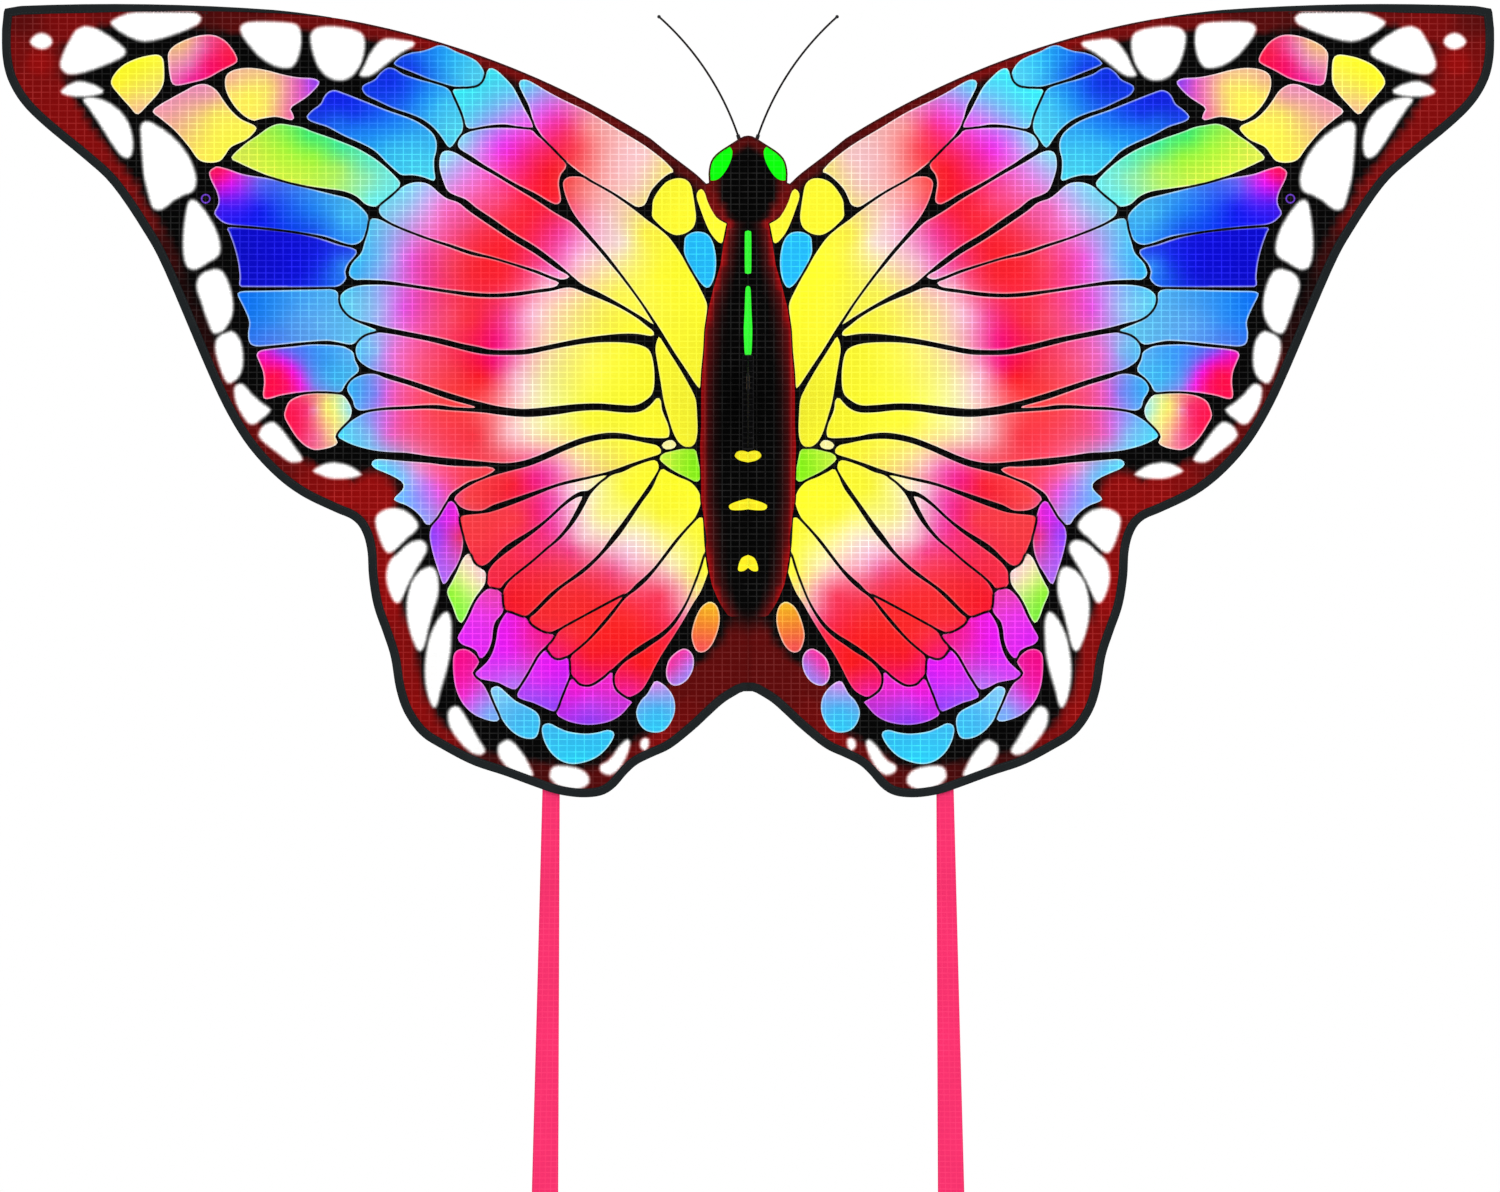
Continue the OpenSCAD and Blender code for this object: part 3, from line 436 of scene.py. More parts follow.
      (245, 116, 0xD040F0), (220, 107, 0xB070F8)], 0.3),
    ([(217, 97), (207, 114), (201, 125), (196, 133), (189, 139), (183, 131), (177, 129), (170, 131),
      (167, 126), (168, 115), (172, 103), (176, 92), (179, 83), (183, 81), (191, 84), (202, 89),
      (212, 92)],
     [(185, 123, 0xE010F0), (195, 110, 0xD828F0), (202, 95, 0xA048F8), (184, 86, 0x9040F8)], 0.35),
    ([(180, 79), (177, 88), (172, 100), (165, 113), (159, 106), (151, 104), (144, 106), (135, 112),
      (128, 118), (126, 103), (120, 97), (113, 92), (109, 90), (112, 86), (119, 78), (129, 72),
      (141, 69), (154, 68.5), (167, 71), (176, 75)],
     [(160, 100, 0xF010D0), (131, 104, 0xE820C0), (150, 88, 0xB840F0), (150, 72, 0x8838F0)], 0.35),
    ([(277, 133), (272, 139), (264, 139), (257, 134), (253, 128), (256, 122), (259, 117), (255, 112),
      (249, 106), (244, 97), (239, 86), (235, 78), (234, 73), (239, 71.5), (249, 74), (259, 79),
      (268, 88), (274, 100), (277, 115)],
     [(266, 130, 0xF00088), (266, 112, 0xF010A0), (266, 97, 0xE820C0), (256, 92, 0xC060F0),
      (243, 79, 0x70B0F8)], 0.4),
    ([(242, 100), (239, 104), (234, 104), (227, 98), (219, 91), (209, 86), (200, 81), (196, 75),
      (196, 66), (199, 57), (205, 55), (214, 57), (223, 63), (231, 73), (237, 86)],
     [(215, 75, 0x40B0F0), (235, 97, 0x80C8F8), (205, 62, 0x38C0F4)], 0.55),
    ([(194, 65), (191, 69), (186, 69.5), (179, 66), (169, 62), (154, 60), (142, 61), (132, 63.5),
      (126, 61), (127, 55), (133, 46), (142, 38), (154, 33), (166, 31.5), (177, 35), (186, 43),
      (192, 54)],
     [(150, 55, 0x30B8F0), (160, 36, 0x28D0F8), (186, 62, 0x38B8F0)], 0.55),
    ([(105, 78), (104, 85), (100, 92), (95, 97), (91, 104), (88, 109), (84, 109), (78, 105),
      (72, 98), (69, 90), (69, 80), (73, 70), (79, 63), (87, 61), (96, 63), (102, 69)],
     [(87, 105, 0xD080E8), (85, 98, 0xA0A0F0), (86, 84, 0x38B0F0), (88, 68, 0x30C8F8)], 0.5),
    ([(77, 120), (74, 130), (67, 137), (60, 140), (54, 137), (51, 130), (52, 120), (57, 111),
      (64, 106), (71, 105.5), (76, 111)],
     [(73, 122, 0xF030A0), (62, 136, 0xF030A0), (54, 122, 0xA080F0), (66, 109, 0xA080F0)], 0.6),
    ([(53, 150), (52, 160), (48, 172), (43, 180), (36, 184), (30, 181), (27, 173), (27, 163),
      (30, 152), (35, 142), (42, 136.5), (49, 138.5)],
     [(37, 179, 0xF8B820), (40, 162, 0xF88828), (43, 142, 0xF85050)], 0.55),
    ([(84, 433), (80, 428), (72.5, 416), (65.5, 405), (59, 394), (52.5, 382), (49, 373),
      (48, 360), (47.5, 348), (48, 340), (50, 333), (55, 329), (60, 330), (66, 335), (71, 345), (75, 358),
      (79, 372), (82, 390), (85, 408), (87, 422)],
     [(60, 370, YELLOW)], 0.3),
    ([(81, 331), (78, 334.5), (72, 336), (68, 333), (68, 330), (72, 327.5), (78, 327.5)],
     [(74, 331, 0xFFF8A0)], 0.2),
    ([(83, 318), (80, 323), (70, 326), (58, 328), (50, 327), (48, 322), (46, 312), (44, 303),
      (46, 298), (50, 297), (58, 301), (68, 306), (77, 312)],
     [(76, 317, 0xC8F840), (52, 312, 0x80F010)], 0.3),
    ([(90, 553), (89, 562), (83, 572), (76, 579), (67, 582), (59, 581), (54, 576), (52, 568),
      (50, 555), (49, 545), (51, 537), (56, 532), (62, 529.5), (69, 529), (77, 533), (85, 540),
      (90, 546)],
     [(70, 555, YELLOW)], 0.3),
    ([(48, 568), (46, 571), (44, 572), (41, 569), (38, 560), (33, 550), (27, 543), (20, 540),
      (20, 535), (21, 528), (23, 523), (26, 521), (30, 524), (36, 532), (41, 543), (45, 554),
      (48, 563)],
     [(34, 540, YELLOW)], 0.2),
    ([(60, 520), (59, 527), (53, 531), (46, 532), (39, 530), (34, 524), (31, 514), (30, 503),
      (31, 492), (34, 483), (38, 479), (43, 482), (49, 490), (56, 502), (60, 512)],
     [(45, 508, 0x20B8F8)], 0.5),
    ([(20.8, 612.5), (28.8, 607), (34.8, 598), (37, 588), (36.6, 581), (31.8, 580), (25.8, 583),
      (19.8, 591), (15.8, 600), (14.8, 608), (17.8, 612)],
     [(27, 595, 0x00FF00)], 0),
]
EYE = len(CELLS) - 1
# Groups of cells whose colours run on from one to the next
GROUPS = (range(13, 26), range(28, 35))
# Marks on the body, which the centre seam cuts in two: the outline starts and ends on the seam
MARKS = [
    ([(0, 533), (2, 532), (3, 529), (3, 496), (2, 493), (0, 492)], 0x30F830),
    ([(0, 481), (1.6, 480), (2.5, 476), (3.3, 455), (4, 440), (3.6, 425), (3, 417), (1.6, 414.5),
      (0, 414)], 0x30F830),
    ([(0, 324.5), (5, 326), (10, 325), (12.5, 321), (8, 317), (0, 315)], 0xF8E820),
    ([(0, 281), (8, 279), (15, 276.5), (18, 274), (16, 270.5), (8, 270), (0, 271)], 0xF8E820),
    ([(0, 228), (6, 225), (9, 218), (9, 213), (4, 213), (0, 216)], 0xF8E820),
]
# White spots between the cells and the border
WHITES = [
    [(675, 711), (669, 717.5), (662, 718.5), (656, 715), (654, 710), (658, 705), (664, 703.5),
     (671, 705.5)],
    [(621, 725), (611, 722), (599, 715), (589, 707), (585, 702), (587, 697), (596, 692), (611, 686),
     (627, 681), (639, 680), (645, 684), (647, 690), (644, 700), (639, 710), (633, 720), (627, 724)],
    [(599, 729), (591, 734), (579, 738), (559, 738.5), (529, 738.5), (520, 738), (514, 733),
     (517, 727), (529, 721), (544, 715.5), (559, 711.5), (571, 711), (584, 716), (595, 723)],
    [(646, 664), (639, 670), (629, 673.5), (617, 671), (609, 667), (606, 664), (610, 661),
     (621, 659), (634, 659), (643, 661)],
    [(625, 656), (617, 658), (604, 655), (591, 646), (583, 635), (579, 623), (578, 612), (580, 603),
     (585, 601), (591, 605), (599, 616), (609, 632), (619, 647)],
    [(571, 632), (565, 636), (556, 632), (544, 624), (533, 613), (525, 601), (520, 588), (519, 578),
     (522, 570), (531, 566), (540, 561), (547, 555), (554, 552), (560, 555), (564, 567), (568, 585),
     (570, 605), (571, 620)],
    [(526, 560), (521, 562), (514, 556), (505, 543), (498, 528), (496, 515), (499, 508), (507, 503),
     (515, 498), (522, 496), (528, 500), (531, 512), (531, 530), (529, 548)],
    [(518, 485), (514, 492), (504, 496.5), (496, 496), (490, 488), (486, 476), (484, 462),
     (486, 450), (492, 440), (499, 436), (504, 438), (509, 450), (514, 465), (518, 477)],
    [(499, 432), (491, 437), (484, 438), (478, 431), (475, 420), (475, 405), (479, 395), (485, 390),
     (490, 390), (495, 400), (499, 412), (501, 423)],
    [(483, 385), (479, 388.5), (474, 388), (466, 379), (457, 371), (449, 365), (451, 361),
     (458, 355), (465, 350.5), (471, 353), (477, 362), (482, 373)],
    [(460, 340), (457, 348), (449, 353), (443, 351), (435, 342), (427, 331), (420, 321), (419, 317),
     (424, 315), (432, 316), (444, 325), (454, 333)],
    [(409, 307), (402, 312), (392, 315), (382, 314), (373, 311), (365, 305.5), (364, 303),
     (372, 300.5), (385, 299.5), (395, 300.5), (404, 304)],
    [(350, 263), (345, 269), (335, 272), (323, 270), (314, 263), (310, 256), (313, 250), (320, 244),
     (328, 236), (334, 231), (339, 230), (344, 237), (348, 248), (350, 256)],
    [(329, 230), (319, 239), (309, 242), (303, 239), (302, 232), (305, 226), (311, 216), (317, 205),
     (323, 192), (327, 184), (331, 183), (335, 188), (339, 199), (340, 210), (337, 222)],
    [(315, 205), (307, 214), (298, 217), (293, 212), (291, 200), (292, 188), (296, 175), (300, 160),
     (303, 146), (306, 139), (310, 138), (314, 145), (319, 160), (321, 175), (320, 190)],
    [(293, 165), (287, 173), (282, 174), (279, 165), (279, 150), (280, 135), (284, 117), (289, 100),
     (292, 88), (295, 84), (299, 90), (303, 105), (304, 122), (302, 140), (298, 155)],
    [(282, 80), (278, 85), (272, 85), (266, 77), (259, 65), (252, 53), (247, 45), (249, 41),
     (255, 40), (264, 45), (274, 56), (281, 68)],
    [(235, 48), (230, 53), (224, 54), (217, 48), (209, 37), (204, 27), (202, 21), (206, 19),
     (215, 21), (226, 28), (234, 38)],
    [(186, 24), (183, 29), (174, 30), (161, 28), (152, 23), (149, 16), (152, 11), (161, 7),
     (171, 8), (180, 12), (186, 18)],
    [(139, 30), (130, 36), (122, 47), (115, 54), (111, 53), (112, 45), (117, 33), (124, 24),
     (131, 21), (138, 24)],
    [(101, 53), (97, 56), (93, 54), (94, 47), (97, 44), (101, 47)],
    [(477, 725), (469, 729), (449, 729.5), (429, 728), (422, 724), (420, 712), (422, 698),
     (427, 688), (434, 685.5), (446, 688), (459, 696), (469, 707), (476, 717)],
    [(411, 718), (404, 724), (389, 725), (371, 722), (362, 717), (360, 707), (362, 695), (367, 684),
     (375, 676), (385, 674), (395, 677), (403, 685), (408, 696), (411, 708)],
    [(365, 679), (361, 688), (355, 700), (347, 710), (339, 713.5), (324, 712), (314, 710),
     (315, 706), (324, 701), (334, 694), (344, 686), (352, 680), (359, 677.5)],
]
# Half width of the body at a few heights
BODY = [(552, 33), (545, 28), (540, 19), (520, 23), (500, 26), (480, 32), (460, 37), (440, 40),
        (420, 41), (400, 43), (380, 44), (350, 44), (330, 45), (300, 44), (280, 44), (260, 41),
        (240, 40), (220, 38), (200, 34), (190, 30), (180, 25), (170, 18)]
# The red border: place, how far it reaches in from the edge, and how red it is
BORDER = [
    (20, 612, 9, 0x50), (70, 600, 9, 0x50), (160, 650, 9, 0x60), (250, 690, 10, 0x70),
    (310, 708, 13, 0x78), (350, 722, 13, 0x70), (420, 735, 15, 0x68), (480, 738, 24, 0x54),
    (520, 738, 20, 0x48), (560, 742, 12, 0x38), (600, 742, 19, 0x68), (640, 742, 34, 0x78),
    (690, 735, 60, 0x58), (700, 700, 58, 0x70), (690, 660, 52, 0x7C), (660, 630, 38, 0x80),
    (630, 605, 24, 0x80), (600, 578, 18, 0x78), (575, 545, 16, 0x68), (555, 510, 17, 0x34),
    (540, 470, 15, 0x18), (520, 430, 17, 0x20), (505, 395, 18, 0x48), (490, 362, 19, 0x58),
    (470, 330, 21, 0x60), (445, 303, 26, 0x60), (415, 285, 32, 0x80), (390, 270, 38, 0x8C),
    (363, 250, 19, 0x78), (357, 215, 24, 0x88), (352, 180, 24, 0x8C), (340, 150, 24, 0x80),
    (331, 105, 24, 0x84), (318, 72, 26, 0x88), (290, 47, 18, 0x78), (255, 30, 15, 0x40),
    (220, 17, 20, 0x40), (180, 5, 26, 0x48), (150, 2, 28, 0x50), (120, 15, 24, 0x58),
    (100, 33, 18, 0x60), (80, 43, 20, 0x80), (50, 64, 30, 0x68), (20, 90, 32, 0x54)]


def linear(rgb):
    """Linear colour of an sRGB one between 0 and 1."""
    rgb = np.asarray(rgb, float)
    return np.where(rgb <= 0.04045, rgb / 12.92, ((rgb + 0.055) / 1.055) ** 2.4)


def split(h):
    """Red, green and blue between 0 and 1 of a 0xRRGGBB number."""
    return np.array([h >> 16 & 255, h >> 8 & 255, h & 255]) / 255


def spread(points, anchors):
    """Values at the points, spread from anchors (x, z, value) by their distance."""
    total = np.zeros((len(points), len(anchors[0][2])))
    weight = np.zeros(len(points))
    for x, z, value in anchors:
        w = 1 / (np.hypot(points[:, 0] - x, points[:, 1] - z) + 1.5) ** 4
        total += w[:, None] * value
        weight += w
    return total / weight[:, None]


def colour_field(anchors):
    """A function of points that takes each anchor's colour at its place and blends between."""
    p = np.array([(x, z) for x, z, _ in anchors], float)
    c = np.array([split(h) for _, _, h in anchors])
    n = len(p)
    k = np.zeros((n + 1, n + 1))
    k[:n, :n] = -np.hypot(*(p[:, None] - p[None]).transpose(2, 0, 1)) + 2.0 * np.eye(n)
    k[:n, n] = k[n, :n] = 1
    w = np.linalg.solve(k, np.append(c, np.zeros((1, 3)), 0))

    def at(points):
        r = -np.hypot(*(np.asarray(points)[:, None] - p[None]).transpose(2, 0, 1))
        return np.clip(r @ w[:n] + w[n], 0, 1)

    return at


# A white spot fades in from this far outside its outline to this far inside it, and no point of
# it is further than its reach from its middle
WHITE_BLUR, WHITE_CORE, WHITE_REACH = 2.4, 2.2, 80
# The dark red of the head's and the body's sides
DARK_RED = 0.42
# How red the cloth is below the body
WAIST = 0.36
# Red glows in the border at the wing tip and at the notch: place, strength, outer and inner radius
GLOWS = [(666, 690, 0.56, 46, 4), (353, 283, 0.55, 30, 17)]


def waist_share(p):
    """Below the body the black fades into red, first at its sides."""
    return smoothstep(186, 152, p[:, 1] + 0.3 * (18 - np.minimum(np.abs(p[:, 0]), 30)))


def background(p, edge_distance):
    """sRGB colour between the cells: black, with the red border and the white spots."""
    border = spread(p, [(x, z, np.array([w, r / 255])) for x, z, w, r in BORDER])
    red = border[:, 1] * smoothstep(border[:, 0] + 5, border[:, 0] - 3, edge_distance)
    reach = np.interp(p[:, 1], (100, 110, 129, 148, 170), (82, 68, 42, 24, 16))
    waist = WAIST * smoothstep(reach + 5, reach - 5, p[:, 0]) * waist_share(p)
    glows = [k * smoothstep(outer, inner, np.hypot(p[:, 0] - x, p[:, 1] - z))
             for x, z, k, outer, inner in GLOWS]
    red = np.maximum.reduce([red, waist, head_red(p)] + glows)
    colour = np.stack([red, red * 0.01, red * 0.01], 1)
    for loop in white_loops:
        near = np.abs(p - loop.mean(0)).max(1) < WHITE_REACH
        if near.any():
            w = smoothstep(-WHITE_BLUR, WHITE_CORE, depth_in(p[near], loop))[:, None]
            colour[near] = colour[near] * (1 - w) + w
    return colour


def body_half(z):
    """Half width of the body at a height."""
    zs = [b[0] for b in BODY][::-1]
    ws = [b[1] for b in BODY][::-1]
    return np.interp(z, zs, ws)


def head_red(p):
    """Red around the head's black core."""
    t, z = np.abs(p[:, 0]), p[:, 1]
    core = np.interp(z, (545, 552, 560, 575, 585, 600, 612, 620), (15, 17, 23, 27, 27, 20, 12, 3))
    sides = smoothstep(core - 1, core + 8, t) * smoothstep(45, 38, t)
    return DARK_RED * sides * smoothstep(536, 550, z)


def body_colour(p):
    """sRGB colour of the body: black, with a dark red glow at its sides."""
    t, z = np.abs(p[:, 0]), p[:, 1]
    half = body_half(z)
    glow = DARK_RED * np.clip(1 - (half - t) / 18, 0, 1) ** 1.15
    rim = 0.2 * smoothstep(2.8, 0.6, half - t) * smoothstep(178, 186, z)
    core = WAIST * waist_share(p)
    red = np.maximum(np.maximum(glow + rim, core) * smoothstep(552, 538, z), head_red(p))
    return np.stack([red, red * 0.01, red * 0.04], 1)


white_loops = [resample(catmull(w, 6, True), 3, True) for w in WHITES]
cell_loops = [resample(catmull(c[0], 6, True), 3, True) for c in CELLS]
mark_loops = [resample(catmull(m[0], 5), 1.5) for m in MARKS]
fields = [colour_field([a for k in next((g for g in GROUPS if i in g), (i,)) for a in CELLS[k][1]])
          for i in range(len(CELLS))]
# A small printed ring near the wing's outer edge: its inner and outer circle
ring_loops = [np.array([(510 + r * math.cos(a), 563 + r * math.sin(a))
                        for a in np.arange(0, 6.28, 0.393)]) for r in (3.2, 4.6)]
RING_COLOUR = 0x6438B8
body_outline = [(0, 552)] + [(w, z) for z, w in BODY] + [(0, 170)]
body_loop = resample(body_outline, 4)


def clockwise(loop):
    """Whether a closed loop turns clockwise."""
    x, z = loop.T
    return (x * np.roll(z, -1) - np.roll(x, -1) * z).sum() < 0


def shifted(loop, by):
    """A closed loop moved inwards by a distance."""
    n = normals(loop, True)
    return loop + n * (by if clockwise(loop) else -by)


# Where two cells nearly touch, this width of black is kept between them
VEIN = 2.3
body_rim = shifted(resample(body_outline, 4, True), -1.3)


def neighbours(i):
    """Loops of the cells beside a cell."""
    a = cell_loops[i]
    return [b for j, b in enumerate(cell_loops) if j != i and (b.min(0) < a.max(0) + VEIN).all()
            and (b.max(0) > a.min(0) - VEIN).all()]


def depth_in(points, loop):
    """Distance to a loop, negative outside it."""
    d = distance(points, loop)
    return np.where(inside(points, loop), d, -d)


def deepest(points, loops):
    """Distance into the loop that each point is deepest in, negative outside all of them."""
    return np.max([np.full(len(points), -99.0)] + [depth_in(points, b) for b in loops], 0)


def runs(loop, hit):
    """The stretches of a closed loop where hit is set, with a point more at each end."""
    hit = hit | np.roll(hit, 1) | np.roll(hit, -1)
    out, run = [], []
    for q, h in zip(np.append(loop, loop[:1], 0), np.append(hit, hit[:1])):
        if h:
            run.append(q)
        elif run:
            out.append(np.array(run))
            run = []
    return [r for r in out + [np.array(run)] if len(r) > 1]


# Fold lines near the seam, where the sail bends
BEND_X = [4.5, 5.5, 6.5, 7.5, 8.5, 9.5, 10.5, 11.5, 12.5]
# Spacing of the other points of the cloth
GRID = 6.5
# Width of the pale line inside a cell's outline, and how much darker the cells are than their
# colours say, all but the eye spot
PALE_WIDTH = 1.7
CELL_SHADE = 0.97


def printed_lines():
    """Lines that the triangles must follow, so that the print is sharp, each with whether it is
    closed. The first is the outline."""
    lines = [(resample(OUTLINE, 4, True), True)]
    for loop, cell in zip(cell_loops, CELLS):
        lines.append((loop, True))
        if cell[2] > 0:
            lines.append((shifted(loop, PALE_WIDTH), True))
    for loop in white_loops:
        for by in (-WHITE_BLUR, -1.9, -0.6, 0.5, WHITE_CORE):
            lines.append((shifted(loop, by), True))
    for i, loop in enumerate(cell_loops):
        near = neighbours(i)
        if near:
            gap = -deepest(loop, near)
            for by in (0.35, 0.7, 1.05, 1.4, 1.9, 2.5):
                hit = gap < min(VEIN, 2 * VEIN - 2 * by) + 0.4
                lines += [(r, False) for r in runs(shifted(loop, by), hit)]
    lines += [(body_rim, True), (body_loop, False)]
    lines += [(m, False) for m in mark_loops]
    return lines + [(r, True) for r in ring_loops]


def grid_between(taken, edge):
    """A grid of points inside the edge that keeps off the taken points and the white spots."""
    xs = np.concatenate([[0.0], BEND_X, np.arange(18, 702, GRID)])
    grid = np.array([(x, z + (GRID / 2 if i % 2 else 0)) for i, x in enumerate(xs)
                     for z in np.arange(0, 745, GRID)])
    grid = grid[inside(grid, edge)]
    grid = grid[distance(grid, edge) > 3.0]
    for loop in white_loops:
        near = np.abs(grid - loop.mean(0)).max(1) < WHITE_REACH
        near[near] = distance(grid[near], loop) < 4.4
        grid = grid[~near]
    bin_size, clear = 8.0, 1.6
    bins = {}
    for q in taken:
        bins.setdefault((int(q[0] // bin_size), int(q[1] // bin_size)), []).append(q)
    keep = []
    for g in grid:
        i, j = int(g[0] // bin_size), int(g[1] // bin_size)
        near = [q for a in (-1, 0, 1) for b in (-1, 0, 1) for q in bins.get((i + a, j + b), [])]
        if not near or np.hypot(*(np.array(near) - g).T).min() > clear:
            keep.append(tuple(g))
    return keep


def fan(face):
    """Triangles of a face."""
    return [(face[0], face[i], face[i + 1]) for i in range(1, len(face) - 1)]


def triangulate(lines, extra):
    """Points and triangles of a flat area that follow the lines and take in the extra points."""
    points, edges = [], []
    for line, closed in lines:
        first, n = len(points), len(line)
        points += [tuple(q) for q in line]
        edges += [(first + i, first + (i + 1) % n) for i in range(n if closed else n - 1)]
    out = delaunay_2d_cdt([Vector(q) for q in points + extra], edges, [], 0, 1e-4)
    return np.array([tuple(v) for v in out[0]]), np.array([t for f in out[2] for t in fan(f)])


def paint_cell(i, verts, tris, hit, colours):
    """Colours a cell's triangles: its own field, a pale edge, and black where it meets others."""
    loop, cell = cell_loops[i], CELLS[i]
    corner = np.repeat(hit, 3)
    q = verts[tris[hit].reshape(-1)]
    c = fields[i](q)
    c *= CELL_SHADE if i != EYE else 1
    pale = (cell[2] * np.clip(1 - distance(q, loop) / PALE_WIDTH, 0, 1))[:, None]
    colours[corner] = c * (1 - pale) + pale
    near = neighbours(i)
    if near:
        used, back = np.unique(tris[hit], return_inverse=True)
        width = depth_in(verts[used], loop) - deepest(verts[used], near)
        colours[corner] *= smoothstep(VEIN - 0.3, VEIN + 0.3, width)[back.reshape(-1)][:, None]


def paint(verts, tris):
    """Linear colour of each corner of each triangle."""
    middle = verts[tris].mean(1)
    free = resample(np.array(head_edge + free_edge + list(bound_edge), float), 4)
    colours = background(verts, distance(verts, free, False))[tris.reshape(-1)]
    corner = np.repeat(inside(middle, body_loop), 3)
    colours[corner] = body_colour(verts[tris.reshape(-1)][corner])
    celled = np.zeros(len(tris), bool)
    for i, loop in enumerate(cell_loops):
        hit = inside(middle, loop)
        hit[hit] = depth_in(middle[hit], loop) > deepest(middle[hit], neighbours(i))
        paint_cell(i, verts, tris, hit, colours)
        celled |= hit & (i != EYE)
        if i == EYE:
            celled &= ~hit
    colours[np.repeat(inside(middle, body_rim) & celled, 3)] = 0
    for loop, mark in zip(mark_loops, MARKS):
        colours[np.repeat(inside(middle, loop), 3)] = split(mark[1])
    ring = inside(middle, ring_loops[1]) & ~inside(middle, ring_loops[0])
    colours[np.repeat(ring, 3)] = split(RING_COLOUR)
    return linear(colours)


def half_sail():
    """Points of the right half in the layout frame, its triangles, and their corners' colours."""
    lines = printed_lines()
    edge = lines[0][0]
    taken = np.concatenate([line for line, closed in lines])
    verts, tris = triangulate(lines, grid_between(taken, edge))
    tris = tris[inside(verts[tris].mean(1), edge)]
    return verts, tris, paint(verts, tris)


# Lines of the two struts and the spine, which hold the cloth flat
RODS = [((16, 268), (445, 733)), ((16, 255), (150, 34)), ((0, 98), (0, 621))]
BILLOW = 6.5


def billow(p):
    """How far the cloth is behind its flat place: it billows back between the rods."""
    d = distance(p, resample(OUTLINE, 8, True))
    for rod in RODS:
        d = np.minimum(d, distance(p, np.array(rod, float), False))
    depth = BILLOW * smoothstep(16, 100, d)
    ripple = 0.5 * np.sin(p[:, 0] / 21 + p[:, 1] / 34) * np.sin(p[:, 1] / 27 - p[:, 0] / 55)
    return depth + ripple * smoothstep(8, 40, d)


# Meshes --------------------------------------------------------------------------------------


def new_object(name, verts, faces, material):
    """A smooth-shaded mesh object."""
    mesh = bpy.data.meshes.new(name)
    mesh.from_pydata([tuple(map(float, v)) for v in verts], [], [tuple(map(int, f)) for f in faces])
    mesh.materials.append(material)
    mesh.validate()
    mesh.polygons.foreach_set("use_smooth", [True] * len(mesh.polygons))
    mesh.update()
    o = bpy.data.objects.new(name, mesh)
    bpy.context.scene.collection.objects.link(o)
    return o


def keep_rest(o, flat):
    """Stores the flat place of each point, in metres, for the materials."""
    a = o.data.attributes.new("rest", "FLOAT_VECTOR", "POINT")
    a.data.foreach_set("vector", np.asarray(flat, np.float32).reshape(-1))


# Materials -------------------------------------------------------------------------------------


def principled(name, colour, rough, **sockets):
    """A material, its node tree and its shader, with the named sockets set."""
    m = bpy.data.materials.new(name)
    m.use_nodes = True
    b = m.node_tree.nodes["Principled BSDF"]
    b.inputs["Base Color"].default_value = (*colour, 1)
    b.inputs["Roughness"].default_value = rough
    for k, v in sockets.items():
        b.inputs[k.replace("_", " ")].default_value = v
    return m, m.node_tree, b


class Nodes:
    """Short calls for building a node tree."""

    def __init__(self, tree):
        self.tree = tree

    def put(self, value, socket):
        if isinstance(value, bpy.types.NodeSocket):
            self.tree.links.new(value, socket)
        else:
            socket.default_value = value

    def math(self, op, a, b=None):
        n = self.tree.nodes.new("ShaderNodeMath")
        n.operation = op
        for v, s in zip((a, b), n.inputs):
            if v is not None:
                self.put(v, s)
        return n.outputs[0]

    def remap(self, v, a, b, c=0.0, d=1.0):
        """Takes the range a to b to the range c to d, eased at both ends."""
        n = self.tree.nodes.new("ShaderNodeMapRange")
        n.interpolation_type = "SMOOTHSTEP"
        for x, s in zip((v, a, b, c, d), n.inputs):
            self.put(x, s)
        return n.outputs[0]

    def mix(self, factor, a, b, mode="MIX"):
        n = self.tree.nodes.new("ShaderNodeMix")
        n.data_type = "RGBA"
        n.blend_type = mode
        for v, i in ((factor, 0), (a, 6), (b, 7)):
            self.put((*v, 1) if isinstance(v, tuple) and len(v) == 3 else v, n.inputs[i])
        return n.outputs[2]

    def attribute(self, name):
        n = self.tree.nodes.new("ShaderNodeAttribute")
        n.attribute_name = name
        return n

    def split(self, vector):
        n = self.tree.nodes.new("ShaderNodeSeparateXYZ")
        self.put(vector, n.inputs[0])
        return n.outputs

    def noise(self, vector, scale, detail=3.0, rough=0.5):
        n = self.tree.nodes.new("ShaderNodeTexNoise")
        self.put(vector, n.inputs["Vector"])
        n.inputs["Scale"].default_value = scale
        n.inputs["Detail"].default_value = detail
        n.inputs["Roughness"].default_value = rough
        return n.outputs[0]

    def bump(self, height, strength, distance_m, normal=None):
        n = self.tree.nodes.new("ShaderNodeBump")
        n.inputs["Strength"].default_value = strength
        n.inputs["Distance"].default_value = distance_m
        self.put(height, n.inputs["Height"])
        if normal is not None:
            self.put(normal, n.inputs["Normal"])
        return n.outputs[0]

    def object_place(self):
        return self.tree.nodes.new("ShaderNodeTexCoord").outputs["Object"]

    def stripes(self, v, pitch, low, high):
        """1 on lines a pitch apart, 0 between them."""
        f = self.math("FRACT", self.math("MULTIPLY", v, 1 / pitch))
        a = self.math("MULTIPLY", self.math("ABSOLUTE", self.math("SUBTRACT", f, 0.5)), 2.0)
        return self.remap(a, low, high)


# Spacing of the thicker threads across and upwards, in the sail and in the smaller pieces, and of
# the fine weave, in metres
SAIL_GRID, FINE_GRID = (0.0081, 0.00585), (0.0052, 0.0052)
WEAVE_PITCH = 0.00055


